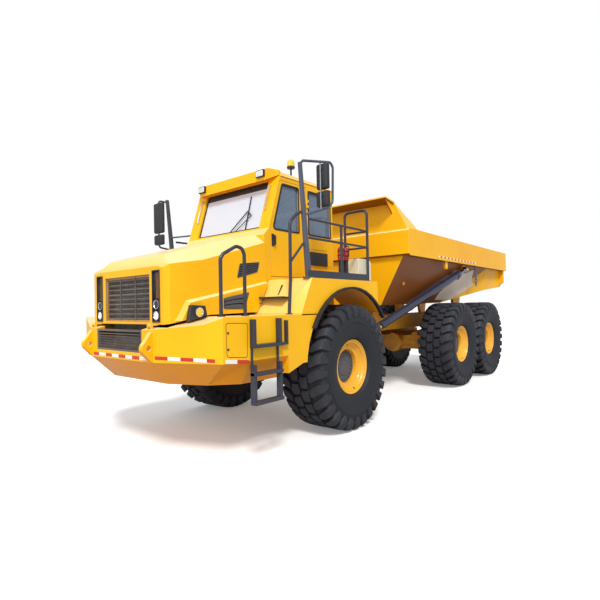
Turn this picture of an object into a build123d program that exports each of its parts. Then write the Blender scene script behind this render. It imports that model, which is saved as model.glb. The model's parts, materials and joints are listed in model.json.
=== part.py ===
from build123d import *
import math
import os

os.makedirs("parts", exist_ok=True)

# An articulated dump truck, full size, in millimetres. +X is forward, +Y is left and +Z is up.
# Lengths along the truck are given from the front axle, and save() moves them to the shared origin,
# which is on the ground below the middle of the whole length.

# Reach of the whole truck from the front axle
FRONT_REACH = 2950.0
REAR_REACH = 8350.0
ORIGIN_SHIFT = (REAR_REACH - FRONT_REACH) / 2

# Axles and wheels
FRONT_TO_MIDDLE_AXLE = 4500.0
MIDDLE_TO_REAR_AXLE = 1950.0
WHEEL_CENTRE_Y = 1320.0
TYRE_RADIUS = 937.5
TYRE_HALF_WIDTH = 375.0
TREAD_DEPTH = 50.0
TYRE_FACETS = 20
LUG_INNER_Y = 90.0
SHOULDER_Y = 338.0
RIM_FLANGE_RADIUS = 406.0
RIM_EDGE_Y = 285.0
RIM_BORE_RADIUS = 250.0
HUB_FACE_Y = 120.0
HUB_BACK_Y = -60.0
AXLE_TUBE_RADIUS = 165.0
AXLE_BEAM_DEPTH = 340.0
SEAT_GAP = 0.3
MOVING_GAP = 8.0

# Hinges
HOOD_PIN_RADIUS = 12.0
HOOD_EYE_RADIUS = 22.0
HOOD_EYE_Y = 650.0
HOOD_EYE_WIDTH = 50.0
DOOR_PIN_X = 204.0
DOOR_PIN_OUT = 18.0
DOOR_PIN_RADIUS = 6.0
DOOR_KNUCKLE_RADIUS = 12.0
DOOR_KNUCKLE_HEIGHT = 40.0
DOOR_HINGE_HEIGHTS = (2520.0, 3460.0)
PIN_CLEARANCE = 0.3

# Articulation joint
PIVOT_X = -1280.0
PIVOT_PIN_RADIUS = 75.0
EAR_RADIUS = 170.0
EAR_PLATE = 60.0
EAR_LOW_Z = 900.0
EAR_HIGH_Z = 1480.0
HITCH_TUBE_RADIUS = 200.0
HITCH_TUBE_Z = 1220.0
HITCH_TUBE_REAR_X = -1960.0

# Frames
RAIL_INNER_Y = 330.0
RAIL_WIDTH = 120.0
FRONT_RAIL_LOW_Z = 1120.0
FRONT_RAIL_HIGH_Z = 1450.0
FRONT_RAIL_REAR_X = -760.0
FRONT_RAIL_FRONT_X = 2560.0
REAR_RAIL_LOW_Z = 1300.0
REAR_RAIL_HIGH_Z = 1620.0
REAR_RAIL_FRONT_X = -2350.0
REAR_RAIL_REAR_X = -7240.0

# Nose below the hood
NOSE_WALL = 14.0
NOSE_TOP_FRONT_Z = 1620.0
NOSE_TOP_REAR_Z = 1755.0
NOSE_KNUCKLE_Z = 1245.0
NOSE_LOW_Z = 955.0
NOSE_FRONT_X = 2830.0
NOSE_CORNER_Y = 790.0
CHEEK_REAR_X = 2480.0
BODY_HALF_WIDTH = 1600.0
NOSE_REAR_X = 1440.0
BAY_HALF_WIDTH = 900.0
ENGINE_HALF_WIDTH = 320.0

# Tow lugs
TOW_HOLE_X = 2864.0
TOW_HOLE_Y = 711.0
TOW_HOLE_Z = 1408.0
TOW_HOLE_RADIUS = 30.0
TOW_LUG_THICK = 70.0
TOW_LUG_RADIUS = FRONT_REACH - TOW_HOLE_X

# Hood
HOOD_WALL = 12.0
HOOD_HINGE_X = 2800.0
HOOD_HINGE_Z = 1664.0
HOOD_BELT_OUT = 70.0

# Cab
CAB_HALF_WIDTH = 930.0
CAB_WALL = 60.0
CAB_REAR_X = -500.0
CAB_LOW_Z = 1790.0
CAB_FLOOR_Z = 2290.0
CAB_ROOF_Z = 3780.0
ROOF_THICK = 70.0
GLASS_THICK = 8.0
DOOR_REAR_X = 200.0
DOOR_HIGH_Z = 3720.0
SILL_Z = 2980.0
HEADER_Z = 3670.0

# Fenders and deck
ARCH_RADIUS = 1070.0
ARCH_CENTRE_Z = 1035.0
DECK_Z = 2240.0
FENDER_REAR_X = -800.0
FENDER_INNER_Y = CAB_HALF_WIDTH + 15.0
TUBE_RADIUS = 22.0
TUBE_SIDES = 8
ROUND_SIDES = 10
ARCH_SIDES = 40
RAIL_Y = 1530.0

# Load body
BED_WALL = 25.0
BED_FRONT_X = -2130.0
BED_RAIL_Y = 1550.0
BED_RAIL_WIDTH = 150.0
BED_RAIL_LOW_Z = 2780.0
BED_RAIL_HIGH_Z = 3290.0
BED_GUARD_HIGH_Z = 3860.0
BED_HINGE_X = -7050.0
BED_HINGE_Z = 1560.0
BED_PIN_RADIUS = 55.0
BED_EAR_Y = 480.0
BED_EAR_THICK = 70.0

# Hoist cylinders, from the pivot on the rear frame to the eye under the body rail
HOIST_LOW = (-1950.0, 940.0, 1430.0)
HOIST_EYE = (-5280.0, 1450.0, 2660.0)
HOIST_BARREL_RADIUS = 80.0
HOIST_ROD_RADIUS = 45.0
HOIST_EYE_RADIUS = 80.0
HOIST_BARREL_SHARE = 0.9
HOIST_PIN_RADIUS = 30.0
HOIST_COLLAR_RADIUS = 33.5
HOIST_COLLAR_HALF = 4.0
HOIST_BORE_RADIUS = 34.0

AXLE_PLACES = {
    "front": 0.0,
    "middle": -FRONT_TO_MIDDLE_AXLE,
    "rear": -FRONT_TO_MIDDLE_AXLE - MIDDLE_TO_REAR_AXLE,
}
SIDES = {"left": 1, "right": -1}


def save(name, *pieces):
    """Writes one piece, or a set of like pieces, with lengths moved to the shared origin."""
    solids = []
    for piece in pieces:
        solids.extend(piece.translate(Vector(ORIGIN_SHIFT, 0, 0)).solids())
    whole = solids[0] if len(solids) == 1 else Compound(solids)
    export_step(whole, f"parts/{name}.step")


def mirrored(piece):
    return mirror(piece, about=Plane.XZ)


def block(x0, x1, y0, y1, z0, z1):
    size = (x1 - x0, y1 - y0, z1 - z0)
    middle = ((x0 + x1) / 2, (y0 + y1) / 2, (z0 + z1) / 2)
    return Pos(*middle) * Box(*size)


def prism_xz(outline, y0, y1):
    """A side outline of (x, z) points, carried from y0 to y1."""
    face = Face(Wire.make_polygon([Vector(x, y0, z) for x, z in outline]))
    return Solid.extrude(face, Vector(0, y1 - y0, 0))


def prism_xy(outline, z0, z1):
    """A plan outline of (x, y) points, carried from z0 to z1."""
    face = Face(Wire.make_polygon([Vector(x, y, z0) for x, y in outline]))
    return Solid.extrude(face, Vector(0, 0, z1 - z0))


def prism_yz(outline, x0, x1):
    """A front outline of (y, z) points, carried from x0 to x1."""
    face = Face(Wire.make_polygon([Vector(x0, y, z) for y, z in outline]))
    return Solid.extrude(face, Vector(x1 - x0, 0, 0))


def post(start, end, radius, sides=ROUND_SIDES):
    """A many-sided bar between two points, for round things whose exact roundness nothing depends on."""
    a, b = Vector(*start), Vector(*end)
    place = Plane(origin=a, z_dir=(b - a).normalized())
    return extrude(place * RegularPolygon(radius, sides), amount=(b - a).length)


def rod(start, end, radius):
    """A truly round bar between two points, for pins and the holes that they turn in."""
    a, b = Vector(*start), Vector(*end)
    return Solid.make_cylinder(radius, (b - a).length, Plane(origin=a, z_dir=(b - a).normalized()))


def tube(points, radius=TUBE_RADIUS):
    """A rail through the points, mitred at its corners."""
    path = Polyline(*points)
    start = Vector(*points[0])
    along = (Vector(*points[1]) - start).normalized()
    return sweep(Plane(origin=start, z_dir=along) * RegularPolygon(radius, TUBE_SIDES), path=path, transition=Transition.RIGHT)


def flat_faces(points):
    """One face through four corners where they lie in a plane, and otherwise two."""
    corners = [Vector(*p) for p in points]
    if len(corners) == 4:
        normal = (corners[1] - corners[0]).cross(corners[2] - corners[0])
        if abs(normal.dot(corners[3] - corners[0])) > 1e-3 * max(normal.length, 1.0):
            halves = [corners[:3], [corners[0], corners[2], corners[3]]]
            return [Face(Wire.make_polygon(half)) for half in halves]
    return [Face(Wire.make_polygon(corners))]


def skin(sections):
    """A closed solid through sections of the same number of corners, with flat facets between them."""
    faces = [Face(Wire.make_polygon([Vector(*p) for p in end])) for end in (sections[0], sections[-1])]
    count = len(sections[0])
    for low, high in zip(sections, sections[1:]):
        for i in range(count):
            j = (i + 1) % count
            corners = [low[i], low[j], high[j], high[i]]
            distinct = [c for n, c in enumerate(corners) if c not in corners[:n]]
            if len(distinct) >= 3:
                faces.extend(flat_faces(distinct))
    return Solid(Shell(faces))


def both_halves(half):
    """A closed (y, z) outline from the left half, which runs from the middle line to the middle line."""
    return half + [(-y, z) for y, z in reversed(half) if y > 0]


def faceted_ring(section, facets=TYRE_FACETS):
    """A wheel part about the Y axis: (y, radius) corners, carried round in flat facets."""
    spread = math.pi / facets
    reach = 1 / math.cos(spread)
    faces = []
    for n in range(facets):
        start, end = (2 * n - 1) * spread, (2 * n + 1) * spread
        for (y0, r0), (y1, r1) in zip(section, section[1:] + section[:1]):
            corners = [
                (r0 * reach * math.sin(start), y0, r0 * reach * math.cos(start)),
                (r1 * reach * math.sin(start), y1, r1 * reach * math.cos(start)),
                (r1 * reach * math.sin(end), y1, r1 * reach * math.cos(end)),
                (r0 * reach * math.sin(end), y0, r0 * reach * math.cos(end)),
            ]
            distinct = [c for i, c in enumerate(corners) if c not in corners[:i]]
            if len(distinct) >= 3:
                faces.append(Face(Wire.make_polygon([Vector(*c) for c in distinct])))
    return Solid(Shell(faces))


def make_tyre():
    """A wide tyre with a lug on each facet of both shoulders, staggered from side to side."""
    tread = TYRE_RADIUS - TREAD_DEPTH
    bead_y = RIM_EDGE_Y - 30.0
    half = [
        (bead_y, RIM_FLANGE_RADIUS + SEAT_GAP),
        (TYRE_HALF_WIDTH, TYRE_RADIUS - 300.0),
        (SHOULDER_Y, tread),
    ]
    section = half + [(-y, r) for y, r in reversed(half)]
    carcass = faceted_ring(section)
    facet = 2 * tread * math.tan(math.pi / TYRE_FACETS)
    lugs = []
    for n in range(TYRE_FACETS):
        for side in (1, -1):
            y0, y1 = sorted((side * LUG_INNER_Y, side * SHOULDER_Y))
            x0, x1 = sorted((0.0, side * facet / 2))
            lug = block(x0, x1, y0, y1, tread, TYRE_RADIUS)
            lugs.append(Rot(0, n * 360.0 / TYRE_FACETS, 0) * lug)
    return carcass.fuse(*lugs).clean()


def make_rim():
    """A dished steel rim with its hub, outer face towards +Y."""
    section = [
        (-RIM_EDGE_Y, RIM_FLANGE_RADIUS),
        (RIM_EDGE_Y, RIM_FLANGE_RADIUS),
        (RIM_EDGE_Y, RIM_FLANGE_RADIUS - 40),
        (HUB_FACE_Y, RIM_BORE_RADIUS),
        (HUB_FACE_Y, 0),
        (HUB_BACK_Y, 0),
        (HUB_BACK_Y, RIM_BORE_RADIUS + 30),
        (-RIM_EDGE_Y, RIM_BORE_RADIUS + 60),
    ]
    return faceted_ring(section)


def make_wheels():
    tyre, rim = make_tyre(), make_rim()
    for axle, x in AXLE_PLACES.items():
        for side, sign in SIDES.items():
            place = Pos(x, sign * WHEEL_CENTRE_Y, TYRE_RADIUS)
            turn = Rot(0, 0, 0 if sign > 0 else 180)
            save(f"tyre_{axle}_{side}", place * turn * tyre)
            save(f"rim_{axle}_{side}", place * turn * rim)


def make_axle(x):
    """A driven beam axle with its differential housing, and the tubes that carry the hubs."""
    end = WHEEL_CENTRE_Y + HUB_BACK_Y - SEAT_GAP
    beam_end = WHEEL_CENTRE_Y - RIM_EDGE_Y - 60.0
    low, high = TYRE_RADIUS - AXLE_BEAM_DEPTH / 2, TYRE_RADIUS + AXLE_BEAM_DEPTH / 2
    beam = block(x - 150, x + 150, -beam_end, beam_end, low + 20, high)
    whole = beam.fuse(post((x, -end, TYRE_RADIUS), (x, end, TYRE_RADIUS), AXLE_TUBE_RADIUS))
    return whole.fuse(post((x - 260, 0, TYRE_RADIUS), (x + 260, 0, TYRE_RADIUS), 230.0))


def make_front_frame():
    """Two box rails with cross members, cab posts, and the two ear plates of the articulation joint."""
    outer = RAIL_INNER_Y + RAIL_WIDTH
    pieces = []
    for sign in (1, -1):
        y0, y1 = sorted((sign * RAIL_INNER_Y, sign * outer))
        pieces.append(
            block(FRONT_RAIL_REAR_X, FRONT_RAIL_FRONT_X, y0, y1, FRONT_RAIL_LOW_Z, FRONT_RAIL_HIGH_Z)
        )
        for post_x in (850.0, -350.0):
            pieces.append(
                block(post_x - 90, post_x + 90, y0, y1, FRONT_RAIL_HIGH_Z, CAB_LOW_Z - SEAT_GAP)
            )
        # Spring seats on the axle, and feet that carry the engine
        axle_top = TYRE_RADIUS + AXLE_BEAM_DEPTH / 2
        pieces.append(block(-130.0, 130.0, y0, y1, axle_top + SEAT_GAP, FRONT_RAIL_LOW_Z + 1))
        foot0, foot1 = sorted((sign * (ENGINE_HALF_WIDTH + SEAT_GAP), sign * (RAIL_INNER_Y + 1)))
        for foot_x in (1560.0, 2240.0):
            pieces.append(block(foot_x - 60, foot_x + 60, foot0, foot1, 1240.0, 1330.0))
    for cross_x in (FRONT_RAIL_FRONT_X - 120, 500.0, -600.0):
        pieces.append(
            block(cross_x - 60, cross_x + 60, -RAIL_INNER_Y, RAIL_INNER_Y, FRONT_RAIL_LOW_Z, FRONT_RAIL_HIGH_Z)
        )
    # Brackets that carry the fenders and the cast front beam that carries the nose
    for bracket_x in (1200.0, -650.0):
        for sign in (1, -1):
            y0, y1 = sorted((sign * outer, sign * (FENDER_INNER_Y - SEAT_GAP)))
            pieces.append(block(bracket_x - 50, bracket_x + 50, y0, y1, 1375.0, FRONT_RAIL_HIGH_Z))
    nose_beam_y = NOSE_CORNER_Y - 40
    nose_back = NOSE_FRONT_X - 165.0
    pieces.append(block(FRONT_RAIL_FRONT_X, nose_back, -nose_beam_y, nose_beam_y, 1150.0, 1400.0))
    # Ear plates that narrow from the rails to the pivot pin
    for z0 in (EAR_LOW_Z, EAR_HIGH_Z):
        ear = prism_xy(
            [
                (FRONT_RAIL_REAR_X + 260, outer),
                (FRONT_RAIL_REAR_X, outer),
                (PIVOT_X, EAR_RADIUS),
                (PIVOT_X, -EAR_RADIUS),
                (FRONT_RAIL_REAR_X, -outer),
                (FRONT_RAIL_REAR_X + 260, -outer),
            ],
            z0,
            z0 + EAR_PLATE,
        )
        pieces.append(ear)
        pieces.append(post((PIVOT_X, 0, z0), (PIVOT_X, 0, z0 + EAR_PLATE), EAR_RADIUS, 16))
    # Webs between the ear plates and the rails
    for sign in (1, -1):
        y0, y1 = sorted((sign * RAIL_INNER_Y, sign * outer))
        pieces.append(
            block(FRONT_RAIL_REAR_X, FRONT_RAIL_REAR_X + 260, y0, y1, EAR_LOW_Z, EAR_HIGH_Z + EAR_PLATE)
        )
    pin = rod((PIVOT_X, 0, EAR_LOW_Z), (PIVOT_X, 0, EAR_HIGH_Z + EAR_PLATE), PIVOT_PIN_RADIUS)
    return pieces[0].fuse(*pieces[1:], pin).clean()


def make_hitch():
    """The knuckle on the pivot pin, with the tube that the rear frame rolls on."""
    low = EAR_LOW_Z + EAR_PLATE + MOVING_GAP
    high = EAR_HIGH_Z - MOVING_GAP
    knuckle = post((PIVOT_X, 0, low), (PIVOT_X, 0, high), EAR_RADIUS - 10, 16)
    neck = block(PIVOT_X - 330, PIVOT_X, -140, 140, low + 40, high - 40)
    roll = rod((PIVOT_X - 300, 0, HITCH_TUBE_Z), (HITCH_TUBE_REAR_X, 0, HITCH_TUBE_Z), HITCH_TUBE_RADIUS)
    shape = knuckle.fuse(neck, roll)
    bore = rod((PIVOT_X, 0, low - 10), (PIVOT_X, 0, high + 10), PIVOT_PIN_RADIUS + 0.5)
    return shape.cut(bore).clean()


def collared_pin(x, z, y0, y1, y_middle):
    """A cross pin with a narrow raised collar, on which a cylinder's eye can also lean a little."""
    pin = post((x, y0, z), (x, y1, z), HOIST_PIN_RADIUS)
    edges = [(x, y_middle + way * HOIST_COLLAR_HALF, z) for way in (-1, 1)]
    return pin.fuse(rod(edges[0], edges[1], HOIST_COLLAR_RADIUS))


def make_rear_frame():
    """Two box rails on the rolling collar, with cross members, body rests, hoist and body hinge brackets."""
    outer = RAIL_INNER_Y + RAIL_WIDTH
    collar_front = PIVOT_X - 450.0
    pieces = [
        post((HITCH_TUBE_REAR_X - 160, 0, HITCH_TUBE_Z), (collar_front, 0, HITCH_TUBE_Z), HITCH_TUBE_RADIUS + 70, 16)
    ]
    # Head box from the collar back to the rails
    head = skin(
        [
            [(-1900.0, y, z) for y, z in ((-250, 1080), (250, 1080), (250, 1400), (-250, 1400))],
            [
                (REAR_RAIL_FRONT_X, y, z)
                for y, z in ((-outer, 1150), (outer, 1150), (outer, REAR_RAIL_HIGH_Z), (-outer, REAR_RAIL_HIGH_Z))
            ],
            [
                (REAR_RAIL_FRONT_X - 350, y, z)
                for y, z in (
                    (-outer, REAR_RAIL_LOW_Z),
                    (outer, REAR_RAIL_LOW_Z),
                    (outer, REAR_RAIL_HIGH_Z),
                    (-outer, REAR_RAIL_HIGH_Z),
                )
            ],
        ]
    )
    pieces.append(head)
    for sign in (1, -1):
        y0, y1 = sorted((sign * RAIL_INNER_Y, sign * outer))
        pieces.append(
            block(REAR_RAIL_REAR_X, REAR_RAIL_FRONT_X - 300, y0, y1, REAR_RAIL_LOW_Z, REAR_RAIL_HIGH_Z)
        )
        # Hoist pivot bracket: a beam out from the head box and a pin
        hx, hy, hz = HOIST_LOW
        y0, y1 = sorted((sign * 240.0, sign * (hy - HOIST_BARREL_RADIUS - 20)))
        pieces.append(block(hx - 260, hx - 60, y0, y1, hz - 200, hz - 20))
        y0, y1 = sorted((sign * (hy - HOIST_BARREL_RADIUS - 75), sign * (hy - HOIST_BARREL_RADIUS - 20)))
        pieces.append(block(hx - 260, hx + 70, y0, y1, hz - 200, hz + 60))
        pieces.append(collared_pin(hx, hz, sign * (hy - HOIST_BARREL_RADIUS - 40), sign * (hy + 60), sign * hy))
        # Bogie beam trunnion
        trunnion_x = -FRONT_TO_MIDDLE_AXLE - MIDDLE_TO_REAR_AXLE / 2
        y0, y1 = sorted((sign * RAIL_INNER_Y, sign * outer))
        pieces.append(block(trunnion_x - 160, trunnion_x + 160, y0, y1, 1080.0, REAR_RAIL_LOW_Z))
        pieces.append(
            post((trunnion_x, sign * outer, 1180.0), (trunnion_x, sign * (outer + 170), 1180.0), 80.0)
        )
        # Rubber rest that the body's floor lies on
        y0, y1 = sorted((sign * RAIL_INNER_Y, sign * outer))
        for rest_x in (-2700.0, -3900.0):
            pieces.append(
                block(rest_x - 120, rest_x + 120, y0, y1, REAR_RAIL_HIGH_Z, bed_floor_z(rest_x - 120) - 8.0)
            )
    for cross_x in (-3300.0, trunnion_x, -6300.0, REAR_RAIL_REAR_X + 90):
        pieces.append(
            block(cross_x - 70, cross_x + 70, -RAIL_INNER_Y, RAIL_INNER_Y, REAR_RAIL_LOW_Z + 30, REAR_RAIL_HIGH_Z)
        )
    for sign in (1, -1):
        ends = [(BED_HINGE_X, sign * y, BED_HINGE_Z) for y in (outer - 10, BED_EAR_Y + BED_EAR_THICK + 25)]
        pieces.append(rod(ends[0], ends[1], BED_PIN_RADIUS))
    shape = pieces[0].fuse(*pieces[1:])
    bore = rod(
        (HITCH_TUBE_REAR_X - 0.5, 0, HITCH_TUBE_Z), (collar_front + 10, 0, HITCH_TUBE_Z), HITCH_TUBE_RADIUS + 0.5
    )
    return shape.cut(bore).clean()


def make_bogie_beams():
    """A walking beam on each side, from the middle axle to the rear axle."""
    beams = []
    y0 = RAIL_INNER_Y + RAIL_WIDTH + 20
    middle, rear = AXLE_PLACES["middle"], AXLE_PLACES["rear"]
    centre = (middle + rear) / 2
    top = TYRE_RADIUS + AXLE_BEAM_DEPTH / 2
    outline = [
        (middle + 170, top + SEAT_GAP),
        (middle + 170, top + 70),
        (centre + 200, 1290),
        (centre - 200, 1290),
        (rear - 170, top + 70),
        (rear - 170, top + SEAT_GAP),
    ]
    for sign in (1, -1):
        beam = prism_xz(outline, sign * y0, sign * (y0 + 140))
        pin = post((centre, sign * (y0 - 5), 1180.0), (centre, sign * (y0 + 150), 1180.0), 80.0 + SEAT_GAP)
        beams.append(beam.cut(pin))
    return beams


def bed_floor_z(x):
    """Underside of the load body: level at the front, then rising to the tail."""
    for (x0, z0), (x1, z1) in zip(BED_FLOOR, BED_FLOOR[1:]):
        if x1 <= x <= x0:
            return z0 + (z1 - z0) * (x - x0) / (x1 - x0)
    return BED_FLOOR[-1][1]


# Load body stations: x, underside z, half width of the floor
BED_STATIONS = [
    (BED_FRONT_X, 1850.0, 900.0),
    (-5000.0, 1880.0, 900.0),
    (-7000.0, 2210.0, 1340.0),
    (-REAR_REACH, 2320.0, 1370.0),
]
BED_FLOOR = [(x, z) for x, z, half in BED_STATIONS]


def make_dump_body():
    """Vee-sided load body with box top rails, a rising tail chute and a spill guard over the front."""
    top = BED_RAIL_HIGH_Z
    rail_inner = BED_RAIL_Y - BED_RAIL_WIDTH
    outer_sections = []
    inner_sections = []
    for x, floor, half in BED_STATIONS:
        outline = both_halves(
            [
                (half, floor),
                (rail_inner, BED_RAIL_LOW_Z),
                (BED_RAIL_Y, BED_RAIL_LOW_Z),
                (BED_RAIL_Y, top),
            ]
        )
        outer_sections.append([(x, y, z) for y, z in outline])
        hollow = both_halves(
            [
                (half - BED_WALL * 0.6, floor + BED_WALL),
                (rail_inner - BED_WALL, BED_RAIL_LOW_Z),
                (rail_inner - BED_WALL + 10, top + 50),
            ]
        )
        x_in = x - BED_WALL if x == BED_FRONT_X else x - 50 if x == -REAR_REACH else x
        inner_sections.append([(x_in, y, z) for y, z in hollow])
    body = skin(outer_sections).cut(skin(inner_sections))
    # Spill guard: a headboard above the front wall with a roof plate that leans forward
    guard_y = 1230.0
    roof_front = BED_FRONT_X + 330
    board = prism_yz(
        [(-1500, top), (1500, top), (guard_y, BED_GUARD_HIGH_Z - 40), (-guard_y, BED_GUARD_HIGH_Z - 40)],
        BED_FRONT_X - BED_WALL,
        BED_FRONT_X,
    )
    roof = prism_xz(
        [
            (BED_FRONT_X - BED_WALL, BED_GUARD_HIGH_Z - 60),
            (roof_front, BED_GUARD_HIGH_Z),
            (roof_front, BED_GUARD_HIGH_Z + BED_WALL),
            (BED_FRONT_X - BED_WALL, BED_GUARD_HIGH_Z - 20),
        ],
        -guard_y,
        guard_y,
    )
    pieces = [board, roof]
    for sign in (1, -1):
        # Gussets under the guard's roof and wings that run back to the rails
        gusset = prism_xz(
            [
                (BED_FRONT_X, BED_GUARD_HIGH_Z - 60),
                (roof_front - 40, BED_GUARD_HIGH_Z - 2),
                (BED_FRONT_X, top + 320),
            ],
            sign * (guard_y - 60),
            sign * (guard_y - 35),
        )
        wing = skin(
            [
                [(BED_FRONT_X, sign * 1500, top - 1), (BED_FRONT_X - 25, sign * guard_y, BED_GUARD_HIGH_Z - 45),
                 (BED_FRONT_X - 500, sign * 1500, top - 1)],
                [(BED_FRONT_X, sign * 1475, top - 1), (BED_FRONT_X - 25, sign * (guard_y - 25), BED_GUARD_HIGH_Z - 45),
                 (BED_FRONT_X - 500, sign * 1475, top - 1)],
            ]
        )
        pieces.extend([gusset, wing])
        # Hinge ears under the tail
        ear = prism_xz(
            [
                (BED_HINGE_X + 110, BED_HINGE_Z - 110),
                (BED_HINGE_X - 110, BED_HINGE_Z - 110),
                (BED_HINGE_X - 320, bed_floor_z(BED_HINGE_X - 320) + 5),
                (BED_HINGE_X + 320, bed_floor_z(BED_HINGE_X + 320) + 5),
            ],
            sign * BED_EAR_Y,
            sign * (BED_EAR_Y + BED_EAR_THICK),
        )
        y0, y1 = sorted((sign * (BED_EAR_Y - 5), sign * (BED_EAR_Y + BED_EAR_THICK + 5)))
        hole = rod((BED_HINGE_X, y0, BED_HINGE_Z), (BED_HINGE_X, y1, BED_HINGE_Z), BED_PIN_RADIUS + 0.5)
        pieces.append(ear.cut(hole))
        # Plate that carries the hoist eye, inboard of the rod's end
        hx, hy, hz = HOIST_EYE
        y1 = hy - HOIST_BARREL_RADIUS * 0.55 - 10
        plate = prism_xz(
            [(hx + 50, BED_RAIL_LOW_Z + 1), (hx + 50, hz - 60), (hx - 60, hz - 80), (hx - 160, BED_RAIL_LOW_Z + 1)],
            sign * (y1 - 30),
            sign * y1,
        )
        pieces.append(plate)
        pin_end = hy + HOIST_BARREL_RADIUS * 0.55 + 25
        pieces.append(collared_pin(hx, hz, sign * (y1 - 10), sign * pin_end, sign * hy))
        # Tail ribs
        rib_x = -REAR_REACH + 60
        rib = prism_yz(
            [(1340, 2330), (1500, 2450), (1500, BED_RAIL_LOW_Z + 1), (1380, BED_RAIL_LOW_Z + 1)], rib_x, rib_x + 90
        )
        pieces.append(rib if sign > 0 else mirrored(rib))
    return body.fuse(*pieces).clean()


def make_chain_link(length, width, bar):
    outer = Box(length, width, bar)
    return outer - Box(length - 2 * bar, width - 2 * bar, bar * 2)


def make_chains():
    """A lashing chain that hangs from each body rail, links turned by a quarter from one to the next."""
    length, width, bar = 110.0, 62.0, 18.0
    chains = []
    pitch = length - 2 * bar + 4
    for sign in (1, -1):
        top_z = BED_RAIL_LOW_Z - length / 2
        links = []
        for n in range(6):
            turn = Rot(0, 90, 0) * Rot(90 * (n % 2), 0, 0)
            place = Pos(-5900.0, sign * (BED_RAIL_Y - 60), top_z - n * pitch)
            links.append(place * turn * make_chain_link(length, width, bar))
        chains.append(links[0].fuse(*links[1:]))
    return chains


def along(start, end, distance):
    a, b = Vector(*start), Vector(*end)
    return a + (b - a).normalized() * distance


def make_cylinder(name, start, end, barrel_radius, rod_radius, share, bore_radius, eye_axis, eye_radius):
    """A hydraulic cylinder for each side: the barrel turns on its pin and the rod ends in an eye."""
    for side, sign in SIDES.items():
        a = (start[0], sign * start[1], start[2])
        b = (end[0], sign * end[1], end[2])
        reach = (Vector(*b) - Vector(*a)).length
        axis = Vector(*eye_axis)
        half = barrel_radius * 0.55
        low_eye = post(Vector(*a) - axis * half, Vector(*a) + axis * half, eye_radius)
        body = post(along(a, b, eye_radius * 0.6), along(a, b, reach * share), barrel_radius)
        gland = post(along(a, b, reach * share - 130), along(a, b, reach * share), barrel_radius * 1.18)
        hole = rod(Vector(*a) - axis * 300, Vector(*a) + axis * 300, bore_radius)
        bore = post(along(a, b, reach * 0.12), along(a, b, reach * share + 50), rod_radius + 0.5)
        barrel = low_eye.fuse(body, gland).cut(hole).cut(bore)
        save(f"{name}_barrel_{side}", barrel.clean())
        eye = post(Vector(*b) - axis * half, Vector(*b) + axis * half, eye_radius)
        stem = post(along(a, b, reach * 0.125), along(a, b, reach - eye_radius * 0.6), rod_radius)
        eye_hole = rod(Vector(*b) - axis * 300, Vector(*b) + axis * 300, bore_radius)
        save(f"{name}_rod_{side}", stem.fuse(eye).cut(eye_hole).clean())


def nose_outline(inset, z, low=False):
    """Plan of the nose at one height, seen from above, with an inset for the inner wall."""
    if low:
        points = [(2560.0, 640.0), (2360.0, 1130.0), (2060.0, 1390.0), (NOSE_REAR_X, 1400.0)]
    else:
        points = [
            (NOSE_FRONT_X, NOSE_CORNER_Y),
            (CHEEK_REAR_X, BODY_HALF_WIDTH - 15),
            (2080.0, BODY_HALF_WIDTH),
            (NOSE_REAR_X, BODY_HALF_WIDTH),
        ]
    left = [(x - inset, y - inset) for x, y in points]
    right = [(x, -y) for x, y in reversed(left)]
    return [(x, y, z) for x, y in left + right]


def make_nose():
    """Swept bumper and side boxes in one welded shell, open at the rear and over the engine bay."""
    outer = skin(
        [
            nose_outline(0, NOSE_LOW_Z, low=True),
            nose_outline(0, NOSE_KNUCKLE_Z),
            nose_outline(0, NOSE_TOP_REAR_Z),
        ]
    )
    # The top edge falls from the side boxes to the front
    above = prism_xz(
        [
            (FRONT_REACH, NOSE_TOP_FRONT_Z - 5),
            (FRONT_REACH, NOSE_TOP_REAR_Z + 100),
            (CHEEK_REAR_X, NOSE_TOP_REAR_Z + 100),
            (CHEEK_REAR_X, NOSE_TOP_REAR_Z),
            (NOSE_FRONT_X, NOSE_TOP_FRONT_Z),
        ],
        -BODY_HALF_WIDTH - 50,
        BODY_HALF_WIDTH + 50,
    )
    inner = skin(
        [
            [(x - 0 if x > NOSE_REAR_X else x - 40, y, z) for x, y, z in nose_outline(NOSE_WALL, NOSE_LOW_Z + NOSE_WALL, low=True)],
            nose_outline(NOSE_WALL, NOSE_KNUCKLE_Z + NOSE_WALL),
            nose_outline(NOSE_WALL, NOSE_TOP_FRONT_Z - 2 * NOSE_WALL),
        ]
    )
    bay = block(NOSE_REAR_X - 60, NOSE_FRONT_X - 110, -BAY_HALF_WIDTH, BAY_HALF_WIDTH, 1500.0, 2000.0)
    rear_open = block(NOSE_REAR_X - 60, NOSE_REAR_X + 60, -BAY_HALF_WIDTH, BAY_HALF_WIDTH, 1000.0, 2000.0)
    grille_hole = block(2500.0, FRONT_REACH, -600.0, 600.0, 1345.0, 1560.0)
    shell = outer.cut(above).cut(inner).cut(bay).cut(rear_open).cut(grille_hole)
    # Ears and pins that the hood turns on, behind the bumper's top edge
    ears = []
    for sign in (1, -1):
        low_y, high_y = HOOD_EYE_Y - 5, HOOD_EYE_Y + HOOD_EYE_WIDTH + 5
        for ear_y in (low_y - 12, high_y):
            y0, y1 = sorted((sign * ear_y, sign * (ear_y + 12)))
            wall_x = NOSE_FRONT_X - NOSE_WALL + 2
            ears.append(block(HOOD_HINGE_X - 15, wall_x, y0, y1, HOOD_HINGE_Z - 90, HOOD_HINGE_Z + 15))
        pin = [(HOOD_HINGE_X, sign * y, HOOD_HINGE_Z) for y in (low_y - 6, high_y + 6)]
        ears.append(rod(pin[0], pin[1], HOOD_PIN_RADIUS))
    return shell.fuse(*ears).clean()


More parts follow.
